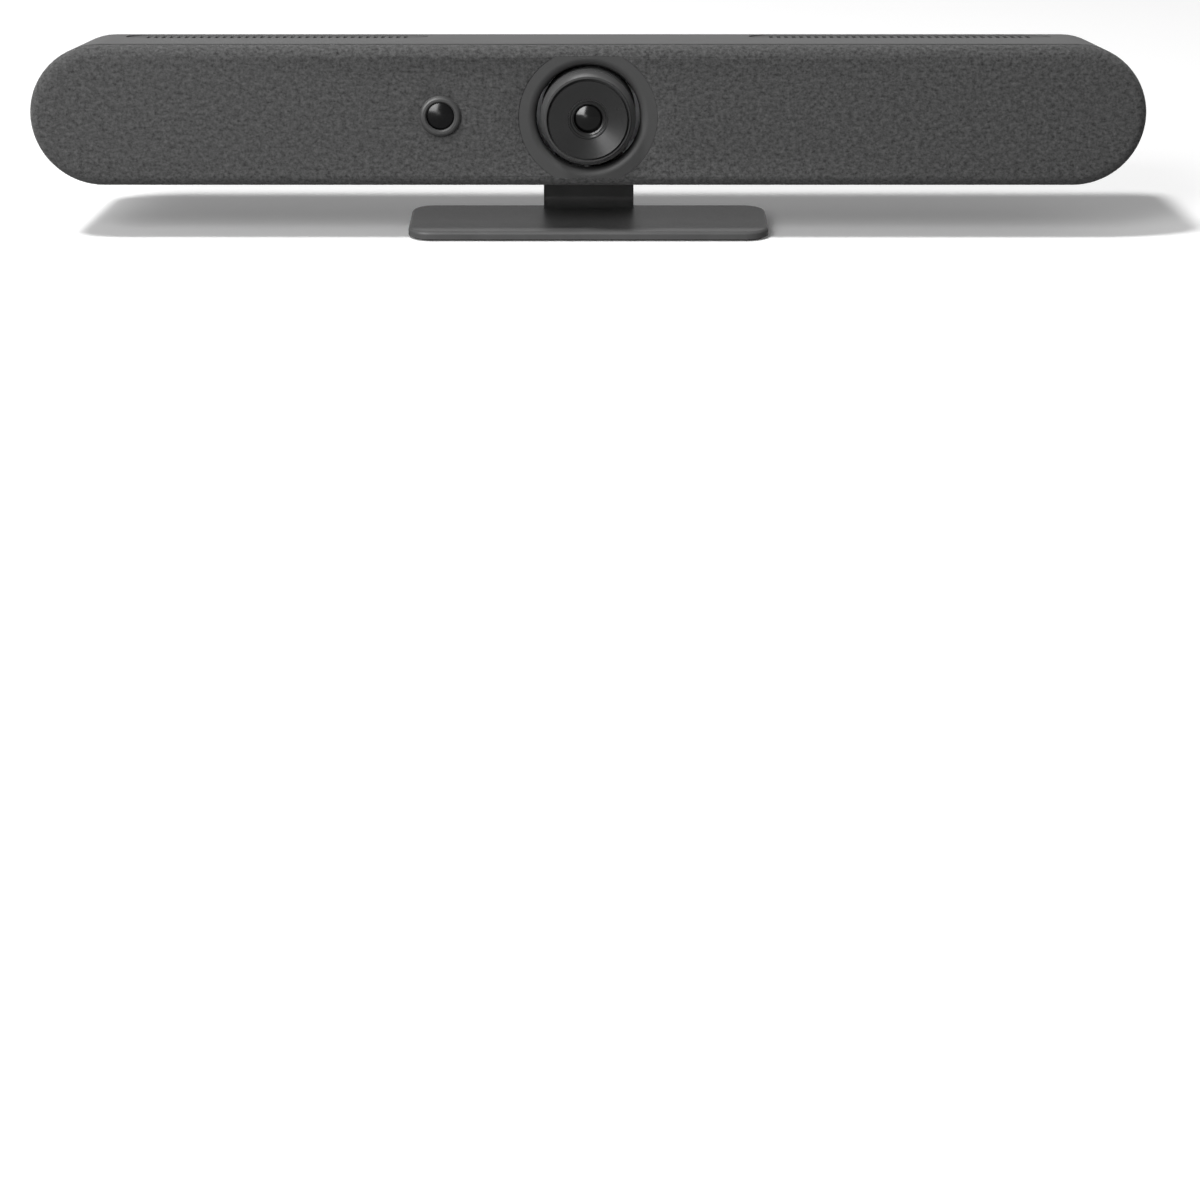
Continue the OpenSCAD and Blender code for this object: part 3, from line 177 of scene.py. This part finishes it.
def grained(name, code, rough, grain, depth, mottle=0.05, metal=0.0, gloss=0.5):
    """A finish with an even fine grain, its pitch and depth in metres, and a faint mottle."""
    finish, tree, shader, place = start_finish(name, code, rough, metal)
    shader.inputs["Specular IOR Level"].default_value = gloss
    mottle_share = 0.06  # a patch of the mottle is some 17 grains wide
    rough_spread = 0.06
    fine = add(tree, "ShaderNodeTexNoise", {"Vector": place, "Scale": 1 / grain, "Detail": 3.0})
    broad = add(tree, "ShaderNodeTexNoise", {"Vector": place, "Scale": mottle_share / grain,
                                             "Detail": 2.0})
    tone = add(tree, "ShaderNodeMapRange", {"Value": broad.outputs["Fac"],
                                            "From Min": 0.3, "From Max": 0.7,
                                            "To Min": 1 - mottle, "To Max": 1 + mottle})
    base = add(tree, "ShaderNodeVectorMath", {0: linear(code)[:3], "Scale": tone.outputs["Result"]},
               operation="SCALE")
    tree.links.new(base.outputs["Vector"], shader.inputs["Base Color"])
    satin = add(tree, "ShaderNodeMapRange", {"Value": fine.outputs["Fac"],
                                             "To Min": rough - rough_spread,
                                             "To Max": rough + rough_spread})
    tree.links.new(satin.outputs["Result"], shader.inputs["Roughness"])
    raised = add(tree, "ShaderNodeBump", {"Height": fine.outputs["Fac"], "Distance": depth,
                                          "Strength": 1.0})
    tree.links.new(raised.outputs["Normal"], shader.inputs["Normal"])
    return finish


# Powder coat: a matt dark grey with a faint orange peel, drawn at 1 mm so that it shows.
powder_coat = grained("powder_coated_steel", "#575757", 0.40, 0.0010, 0.000018, gloss=0.06)
dress(powder_coat, "stand_plate")
# Rubber: black, dull, slightly dusty.
black_rubber = grained("moulded_rubber", "#1c1c1c", 0.82, 0.0006, 0.00002, mottle=0.15)
dress(black_rubber, "stand_pad")
# Zinc-plated steel: bright grey with a faint rolled haze.
zinc_plate = grained("zinc_plated_steel", "#b4b4b0", 0.34, 0.0004, 0.000006, metal=1.0)
dress(zinc_plate, "stand_screws", "housing_screws")

# ---- Rear housing -----------------------------------------------------------------------
# A one-piece ABS moulding with tapered sides and a spark-eroded grain. Two slotted strips of
# darker ABS are let into its top, and the tray of the ports fills a window in its back.


def shade(finish, factor):
    """Multiplies the finish's colour by the factor, a socket."""
    tree = finish.node_tree
    colour = tree.nodes["Principled BSDF"].inputs["Base Color"]
    shaded = add(tree, "ShaderNodeVectorMath", {0: colour.links[0].from_socket, "Scale": factor},
                 operation="SCALE")
    tree.links.new(shaded.outputs["Vector"], colour)


# ABS with a fine spark-eroded grain: matt graphite grey, with painted shade towards the seam,
# where its colour is darkened as if in the shade between it and the cloth.
housing_abs = grained("grained_abs_graphite", "#5e5e5e", 0.68, 0.0007, 0.00002, mottle=0.03,
                      gloss=0.06)
tree = housing_abs.node_tree
place = add(tree, "ShaderNodeTexCoord").outputs["Object"]
depth = add(tree, "ShaderNodeSeparateXYZ", {"Vector": place})
seam_y = -0.0354
seam_shade_end_y = -0.0240
# Painted shade: the colour darkens towards the seam with the cloth.
clear = add(tree, "ShaderNodeMapRange", {"Value": depth.outputs["Y"],
                                         "From Min": seam_y, "From Max": seam_shade_end_y,
                                         "To Min": 0.27, "To Max": 1.0})
shade(housing_abs, clear.outputs["Result"])
dress(housing_abs, "rear_housing")
# The same ABS, darker.
trim_abs = grained("grained_abs_black", "#383838", 0.60, 0.0007, 0.00002, mottle=0.04, gloss=0.2)
dress(trim_abs, "vent_grilles", "port_panel")
# Buttons: smoother, a little lighter, from a polished tool.
button_abs = grained("satin_abs_button", "#5c5c5c", 0.36, 0.0005, 0.000006, mottle=0.02)
dress(button_abs, "power_button", "pairing_button")

# ---- Ports ------------------------------------------------------------------------------
# Tinned steel shells with a plastic tongue each, and gold-plated contacts. They stand on the
# port board behind the panel.

# Tinned steel: pale, with a fine rolled grain.
tinned_steel = grained("tinned_steel", "#c2c2be", 0.28, 0.0004, 0.000004, metal=1.0)
dress(tinned_steel, "network_jack", "usb_ports", "usb_c_port", "hdmi_ports")
# Glass-filled nylon of the power inlet.
black_nylon = grained("black_nylon", "#191919", 0.55, 0.0005, 0.00001)
dress(black_nylon, "power_inlet")
# Gold plating: warm yellow, polished.
gold_plate = grained("gold_plating", "#d8a848", 0.22, 0.0003, 0.000002, metal=1.0)


def contact_row(name, place, count, pitch, size):
    """A row of contacts along X from place, made by a node tree, all in metres."""
    group = bpy.data.node_groups.new(name, "GeometryNodeTree")
    for label, kind in (("Start", "NodeSocketVector"), ("Count", "NodeSocketInt"),
                        ("Pitch", "NodeSocketVector"), ("Size", "NodeSocketVector")):
        group.interface.new_socket(label, in_out="INPUT", socket_type=kind)
    group.interface.new_socket("Geometry", in_out="OUTPUT", socket_type="NodeSocketGeometry")
    given = add(group, "NodeGroupInput")
    line = add(group, "GeometryNodeMeshLine", {"Count": given.outputs["Count"],
                                               "Start Location": given.outputs["Start"],
                                               "Offset": given.outputs["Pitch"]})
    bar = add(group, "GeometryNodeMeshCube", {"Size": given.outputs["Size"]})
    spread = add(group, "GeometryNodeInstanceOnPoints", {"Points": line.outputs["Mesh"],
                                                         "Instance": bar.outputs["Mesh"]})
    real = add(group, "GeometryNodeRealizeInstances", {"Geometry": spread.outputs["Instances"]})
    coat = add(group, "GeometryNodeSetMaterial", {"Geometry": real.outputs["Geometry"],
                                                  "Material": gold_plate})
    add(group, "NodeGroupOutput", {"Geometry": coat.outputs["Geometry"]})
    piece = link_object(name, bpy.data.meshes.new(name))
    maker = piece.modifiers.new("row", "NODES")
    maker.node_group = group
    given_values = {"Start": place, "Count": count, "Pitch": (pitch, 0, 0), "Size": size}
    for socket in group.interface.items_tree:
        if socket.in_out == "INPUT":
            maker[socket.identifier] = given_values[socket.name]
    seen = piece.evaluated_get(bpy.context.evaluated_depsgraph_get())
    piece.data = bpy.data.meshes.new_from_object(seen)
    piece.modifiers.clear()
    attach(piece, "bar")


contact_y = 0.0400
contact_row("network_contacts", (-0.05176, contact_y, 0.0686), 8, 0.00102, (0.0004, 0.0100, 0.0004))
usb_middles = (-0.02795, -0.00989, 0.00817)
usb_first = 0.0036
for i, x in enumerate(usb_middles):
    contact_row(f"usb_contacts_{i + 1}", (x - usb_first, contact_y, 0.0600), 4, 0.0024,
                (0.0011, 0.0090, 0.00012))

# ---- Speaker cloth ----------------------------------------------------------------------
# Heathered polyester cloth, plain woven from dark and light grey yarns, stretched over the
# front frame and held behind its rim. It has a cut-out for the bezel and one for the finder.

cloth_straight = 0.3150
cloth_half_h = 0.0455
cloth_nose = 0.0070
cloth_front = -0.0440
cloth_hem = -0.0354
cloth_z = 0.0825
cloth_thick = 0.0006
cut_r = 0.04475
cut_half_h = 0.03975
finder_cut_r = 0.01125
finder_at = (-0.0953, 0.0012)


def stadium(radius, steps):
    """Points round the bar's outline at that distance from its middle line."""
    points = []
    for side in (1, -1):
        for i in range(steps + 1):
            a = math.radians(-90 + 180 * i / steps)
            points.append((side * (cloth_straight + radius * math.cos(a)),
                           side * radius * math.sin(a)))
    return points


def bezel_cut(grow, steps=96):
    """The cut-out for the bezel: a circle cut flat above and below."""
    r, h = cut_r + grow, cut_half_h + grow
    a0 = math.asin(h / r)
    points = []
    for side in (0, 1):
        for i in range(steps // 2 + 1):
            a = -a0 + 2 * a0 * i / (steps // 2) + math.pi * side
            points.append((r * math.cos(a), r * math.sin(a)))
    return points


def finder_cut(grow, steps=64):
    """The round cut-out for the finder."""
    r = finder_cut_r + grow
    return [(finder_at[0] + r * math.cos(2 * math.pi * i / steps),
             finder_at[1] + r * math.sin(2 * math.pi * i / steps)) for i in range(steps)]


def off_finder(x, z):
    """Distance from the middle of the finder's cut-out."""
    return math.hypot(x - finder_at[0], z - finder_at[1])


edge_steps = 64
flat_half_h = cloth_half_h - cloth_nose
rim = stadium(flat_half_h, edge_steps)
tuck = 0.0004
flat_loops = [rim, bezel_cut(tuck), finder_cut(tuck)]
# Inner points in centimetres keep the triangles short, away from the two cut-outs.
bezel_clear = 0.052
finder_clear = 0.016
inner_grid = [(x / 100, z / 100) for x in range(-34, 35) for z in (-2.4, -1.2, 0.0, 1.2, 2.4)]
inner_grid = [(x, z) for x, z in inner_grid
              if math.hypot(x, z) > bezel_clear and off_finder(x, z) > finder_clear]
flat_points = [Vector(p) for loop in flat_loops for p in loop] + [Vector(p) for p in inner_grid]
flat_edges = []
first = 0
for loop in flat_loops:
    n = len(loop)
    flat_edges += [(first + i, first + (i + 1) % n) for i in range(n)]
    first += n
verts, _, faces, origins, _, _ = delaunay_2d_cdt(flat_points, flat_edges, [], 0, 1e-7)


def in_cut(x, z):
    inside_bezel = math.hypot(x, z) < cut_r + tuck and abs(z) < cut_half_h + tuck
    return inside_bezel or off_finder(x, z) < finder_cut_r + tuck


def in_rim(x, z):
    return math.hypot(max(abs(x) - cloth_straight, 0), z) < flat_half_h


weave = bmesh.new()
laid = weave.loops.layers.uv.new("cloth")
flat_uv = {}


def cloth_vert(x, y, z, u, v):
    made = weave.verts.new((x, y, cloth_z + z))
    flat_uv[made] = (u, v)
    return made


sheet_verts = [cloth_vert(p[0], cloth_front, p[1], p[0], p[1]) for p in verts]
for face in faces:
    mid = sum((verts[i] for i in face), Vector((0, 0))) / len(face)
    if in_rim(*mid) and not in_cut(*mid):
        weave.faces.new([sheet_verts[i] for i in face])
found = {}
for index, came in enumerate(origins):
    for source in came:
        found[source] = sheet_verts[index]


def skirt(first_index, count, rings):
    """Faces from a loop of the flat front to further rings: (points, y, flat points) each."""
    last = [found[first_index + i] for i in range(count)]
    for points, y, flat in rings:
        ring = [cloth_vert(p[0], y, p[1], f[0], f[1]) for p, f in zip(points, flat)]
        for i in range(count):
            j = (i + 1) % count
            weave.faces.new([last[i], last[j], ring[j], ring[i]])
        last = ring


nose_steps = 10
nose_rings = []
for i in range(1, nose_steps + 1):
    a = math.radians(90 * i / nose_steps)
    r = cloth_half_h - cloth_nose * (1 - math.sin(a))
    y = cloth_front + cloth_nose * (1 - math.cos(a))
    nose_rings.append((stadium(r, edge_steps), y,
                       stadium(flat_half_h + cloth_nose * a, edge_steps)))
flat_r = flat_half_h + cloth_nose * math.pi / 2
for step in (cloth_thick, cloth_hem - cloth_front - cloth_nose):
    nose_rings.append((stadium(cloth_half_h, edge_steps), cloth_front + cloth_nose + step,
                       stadium(flat_r + step, edge_steps)))
hem_fold = 0.0005
hem_turn = 0.0003
hem_laid = 0.0022
nose_rings.append((stadium(cloth_half_h - hem_fold, edge_steps), cloth_hem + hem_turn,
                   stadium(flat_r + hem_laid, edge_steps)))
skirt(0, len(rim), nose_rings)
start = len(rim)
bend_share = 0.3
laid_share = 0.2
for cut, count in ((bezel_cut, len(flat_loops[1])), (finder_cut, len(flat_loops[2]))):
    skirt(start, count, [(cut(tuck * bend_share), cloth_front + tuck * bend_share,
                          cut(tuck * laid_share)),
                         (cut(0.0), cloth_front + tuck, cut(-tuck)),
                         (cut(0.0), cloth_front + 2 * tuck, cut(-2 * tuck))])
    start += count
for vert in list(weave.verts):
    if not vert.link_faces:
        weave.verts.remove(vert)
bmesh.ops.recalc_face_normals(weave, faces=weave.faces)
if sum(face.normal.y * face.calc_area() for face in weave.faces) > 0:
    bmesh.ops.reverse_faces(weave, faces=weave.faces)
for face in weave.faces:
    face.smooth = True
    for loop in face.loops:
        loop[laid].uv = flat_uv[loop.vert]
cloth_mesh = bpy.data.meshes.new("speaker_cloth")
weave.to_mesh(cloth_mesh)
weave.free()
cloth = link_object("speaker_cloth", cloth_mesh)
wall = cloth.modifiers.new("thickness", "SOLIDIFY")
wall.thickness = cloth_thick
wall.offset = -1.0

# Plain weave of two heathered yarns at a pitch of 0.9 mm: dark grey with lighter and darker
# flecks where single yarns surface, matt with a soft fuzz. The flecks are drawn 2 to 3 mm
# wide so that they show.
cloth_grey = "#424242"
finish, tree, shader, place = start_finish("heathered_cloth", cloth_grey, 0.9)
shader.inputs["Specular IOR Level"].default_value = 0.15
shader.inputs["Sheen Weight"].default_value = 0.15
shader.inputs["Sheen Roughness"].default_value = 0.5
flat = add(tree, "ShaderNodeUVMap", uv_map="cloth").outputs["UV"]
yarn_pitch = 0.0009
wave_period = 0.3142  # that of the wave texture at a scale of 1
warp, weft = (add(tree, "ShaderNodeTexWave", {"Vector": flat, "Scale": wave_period / yarn_pitch,
                                              "Distortion": 0.6, "Detail": 1.0,
                                              "Detail Scale": 2.0}, bands_direction=way)
              for way in ("X", "Y"))
over = add(tree, "ShaderNodeMath", {0: warp.outputs["Fac"], 1: weft.outputs["Fac"]},
           operation="MULTIPLY")
fleck_width = 0.0019
fleck = add(tree, "ShaderNodeTexNoise", {"Vector": flat, "Scale": 1 / fleck_width, "Detail": 4.0,
                                         "Roughness": 0.75})
slub_width = 0.0029
stretched = add(tree, "ShaderNodeMapping", {"Vector": flat, "Scale": (0.8, 1.0, 1.0)})
slub = add(tree, "ShaderNodeTexNoise", {"Vector": stretched.outputs["Vector"],
                                        "Scale": 1 / slub_width, "Detail": 3.0, "Roughness": 0.7})
mixed = add(tree, "ShaderNodeMath", {0: fleck.outputs["Fac"], 1: slub.outputs["Fac"]},
            operation="ADD")
tone = add(tree, "ShaderNodeMapRange", {"Value": mixed.outputs[0],
                                        "From Min": 0.68, "From Max": 1.32,
                                        "To Min": 0.0, "To Max": 2.1})
# Painted shade: the cloth's colour is darkened where it goes over the frame's edge to the seam.
hem_from_y = -0.0390
hem_to_y = -0.0372
depth = add(tree, "ShaderNodeSeparateXYZ", {"Vector": place})
hem_shade = add(tree, "ShaderNodeMapRange", {"Value": depth.outputs["Y"],
                                             "From Min": hem_from_y, "From Max": hem_to_y,
                                             "To Min": 1.0, "To Max": 0.62})
shaded = add(tree, "ShaderNodeMath", {0: tone.outputs["Result"], 1: hem_shade.outputs["Result"]},
             operation="MULTIPLY")
base = add(tree, "ShaderNodeVectorMath", {0: linear(cloth_grey)[:3], "Scale": shaded.outputs[0]},
           operation="SCALE")
tree.links.new(base.outputs["Vector"], shader.inputs["Base Color"])
height = add(tree, "ShaderNodeMath", {0: over.outputs[0], 1: mixed.outputs[0]}, operation="ADD")
weave_depth = 0.00016
raised = add(tree, "ShaderNodeBump", {"Height": height.outputs[0], "Distance": weave_depth,
                                      "Strength": 1.0})
tree.links.new(raised.outputs["Normal"], shader.inputs["Normal"])
cloth.data.materials.append(finish)
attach(cloth, "bar")
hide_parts("fabric_cover")

# ---- Front frame ------------------------------------------------------------------------
# Black glass-filled ABS behind the cloth, moulded in one piece with the bosses for the
# housing's screws, and slotted in front of the drivers.
frame_abs = grained("grained_abs_frame", "#202020", 0.6, 0.0007, 0.00002)
dress(frame_abs, "front_frame")

# ---- Bezel ------------------------------------------------------------------------------
# A smooth ABS disc in graphite grey, seated in the front frame's opening, that rolls inwards
# to a mouth round the eye. Its throat has painted shade: its colour darkens almost to black and
# its gloss is taken off, so that the gap round the ball is dark.

eye_centre = (0.0, -0.0333142, 0.0825)


def lens_axis(tree):
    """Distance from the lens axis, and the way back along it from the ball's middle."""
    place = add(tree, "ShaderNodeTexCoord")
    moved = add(tree, "ShaderNodeMapping", {"Vector": place.outputs["Object"],
                                            "Location": [-c for c in eye_centre]})
    apart = add(tree, "ShaderNodeSeparateXYZ", {"Vector": moved.outputs["Vector"]})
    squares = add(tree, "ShaderNodeMath", {0: apart.outputs["X"], 1: apart.outputs["X"]},
                  operation="MULTIPLY")
    squares = add(tree, "ShaderNodeMath", {0: apart.outputs["Z"], 1: apart.outputs["Z"],
                                           2: squares.outputs[0]}, operation="MULTIPLY_ADD")
    distance = add(tree, "ShaderNodeMath", {0: squares.outputs[0]}, operation="SQRT")
    return distance.outputs[0], apart.outputs["Y"]


def make_dull(finish, painted_shade_zone):
    """Takes the gloss off the finish where the painted shade zone, a socket, is 1."""
    tree = finish.node_tree
    rough = tree.nodes["Principled BSDF"].inputs["Roughness"]
    dull = add(tree, "ShaderNodeMath", {0: rough.links[0].from_socket, 1: painted_shade_zone},
               operation="MAXIMUM")
    tree.links.new(dull.outputs[0], rough)


bezel_abs = grained("satin_abs_bezel", "#474747", 0.50, 0.0006, 0.000004, mottle=0.02, gloss=0.08)
tree = bezel_abs.node_tree
radius, _ = lens_axis(tree)
throat_r = 0.0335
dull_r = 0.0345
grey_r = 0.0350
# Painted shade: the colour is darkened towards the mouth and the gloss taken off there.
painted_shade_scale = add(tree, "ShaderNodeMapRange", {"Value": radius, "From Min": throat_r, "From Max": grey_r,
                                         "To Min": 0.12, "To Max": 1.0})
shade(bezel_abs, painted_shade_scale.outputs["Result"])
throat_shade_zone = add(tree, "ShaderNodeMapRange", {"Value": radius, "From Min": throat_r, "From Max": dull_r,
                                        "To Min": 1.0, "To Max": 0.0})
make_dull(bezel_abs, throat_shade_zone.outputs["Result"])
dress(bezel_abs, "camera_bezel")

# ---- Camera eye -------------------------------------------------------------------------
# A hollow ball of satin ABS with a lip round its front. A dished black disc sits inside the
# lip, and the lens stands in the middle in a turned, black anodised barrel.

# The ball is satin grey on its front ring. In the groove inside the ring and behind the face of
# the bezel its colour is darkened almost to black and dull, as painted shade in the gaps.
ball_abs = grained("satin_abs_ball", "#4a4a4a", 0.30, 0.0006, 0.000004, mottle=0.02, gloss=0.35)
tree = ball_abs.node_tree
radius, along = lens_axis(tree)
groove_r = 0.0280
ring_back_y = -0.0115
in_groove = add(tree, "ShaderNodeMath", {0: radius, 1: groove_r}, operation="LESS_THAN")
behind = add(tree, "ShaderNodeMath", {0: along, 1: ring_back_y}, operation="GREATER_THAN")
painted_shade_zone = add(tree, "ShaderNodeMath", {0: in_groove.outputs[0], 1: behind.outputs[0]},
              operation="MAXIMUM")
# Painted shade: the colour is darkened almost to black in the groove and behind the bezel.
painted_shade_scale = add(tree, "ShaderNodeMapRange", {"Value": painted_shade_zone.outputs[0],
                                         "To Min": 1.0, "To Max": 0.03})
shade(ball_abs, painted_shade_scale.outputs["Result"])
make_dull(ball_abs, painted_shade_zone.outputs[0])
dress(ball_abs, "eye_shell")
# ABS from a polished tool: smooth and deep black.
face_abs = grained("satin_abs_face", "#141414", 0.20, 0.0005, 0.000002, mottle=0.02, gloss=0.25)
dress(face_abs, "eye_face")
# Anodised aluminium of the barrel, with fine turning marks round the lens.
finish, tree, shader, _ = start_finish("anodised_barrel", "#0b0b0b", 0.3)
shader.inputs["Specular IOR Level"].default_value = 0.2
radius, _ = lens_axis(tree)
turning_pitch = 0.00025
turning_depth = 0.000006
turned = add(tree, "ShaderNodeMath", {0: radius, 1: 2 * math.pi / turning_pitch},
             operation="MULTIPLY")
ridge = add(tree, "ShaderNodeMath", {0: turned.outputs[0]}, operation="SINE")
raised = add(tree, "ShaderNodeBump", {"Height": ridge.outputs[0], "Distance": turning_depth,
                                      "Strength": 1.0})
tree.links.new(raised.outputs["Normal"], shader.inputs["Normal"])
dress(finish, "lens_barrel")
# Coated optical glass with the dark inside of the barrel behind it, drawn opaque: hard and
# deep black. The low IOR stands for the coating, which takes most of the reflection away.
optic_glass, _, shader, _ = start_finish("coated_optical_glass", "#090909", 0.17)
shader.inputs["IOR"].default_value = 1.22
dress(optic_glass, "lens_glass")
# The lens behind it, drawn black in the same way.
inner_glass, _, shader, _ = start_finish("blackened_inner_glass", "#08080a", 0.05)
shader.inputs["Specular IOR Level"].default_value = 0.08
dress(inner_glass, "inner_lens")

# ---- Side camera ------------------------------------------------------------------------
# The finder, a small fixed camera: a satin ABS ring that sits in a cut-out of the cloth, with
# a domed window of smoked glass.
ring_abs = grained("satin_abs_ring", "#434343", 0.42, 0.0006, 0.000004, mottle=0.02, gloss=0.12)
dress(ring_abs, "finder_ring")
smoked_glass, _, shader, _ = start_finish("smoked_window", "#0a0a0b", 0.20)
shader.inputs["IOR"].default_value = 1.6
shader.inputs["Specular IOR Level"].default_value = 0.07
dress(smoked_glass, "finder_glass")

# ---- Inside -----------------------------------------------------------------------------
# What the housing encloses: sheet metal, boards, drivers and the drive of the eye. Hardly any
# of it shows. The pieces nearest to the gap round the eye are black.

sheet_aluminium = grained("rolled_aluminium", "#b8babc", 0.38, 0.0008, 0.000006, metal=1.0)
dress(sheet_aluminium, "chassis", "heat_sink")
solder_resist = grained("green_solder_resist", "#1d5a30", 0.35, 0.0012, 0.00001, mottle=0.1)
dress(solder_resist, "main_board", "port_board", "button_board", "microphone_boards",
      "sensor_board", "finder_board")
turned_brass = grained("turned_brass", "#c09a50", 0.3, 0.0005, 0.000004, metal=1.0)
dress(turned_brass, "board_standoffs", "port_board_posts", "threaded_inserts")
dress(grained("moulded_epoxy", "#1e1e20", 0.6, 0.0004, 0.000008), "processor")
dress(grained("plain_abs_box", "#262626", 0.55, 0.0010, 0.00001),
      "speaker_box_left", "speaker_box_right", "lens_holder", "finder_barrel")
dress(grained("coated_basket", "#2a2a2b", 0.45, 0.0006, 0.00001),
      "driver_basket_left", "driver_basket_right")
dress(grained("pressed_cone", "#3a3a3a", 0.75, 0.0012, 0.00003, mottle=0.12),
      "speaker_cone_left", "speaker_cone_right")
dress(zinc_plate, "driver_magnet_left", "driver_magnet_right", "tilt_pins",
      "pan_motor", "tilt_motor")
dress(black_rubber, "cone_surround_left", "cone_surround_right",
      "speaker_gaskets", "rubber_mounts")
# Blackened, so that the gap round the eye stays dark.
black_plate = grained("black_oxide_steel", "#141414", 0.5, 0.0008, 0.000008)
dress(black_plate, "camera_bracket", "pan_bushing")
dress(grained("blackened_die_casting", "#121212", 0.6, 0.0009, 0.00002, gloss=0.2), "pan_yoke")
dress(grained("black_acetal", "#161616", 0.42, 0.0008, 0.000006), "pan_gear", "pan_pinion")
dress(grained("natural_acetal", "#dcdad0", 0.42, 0.0008, 0.000006), "tilt_gear", "tilt_pinion")
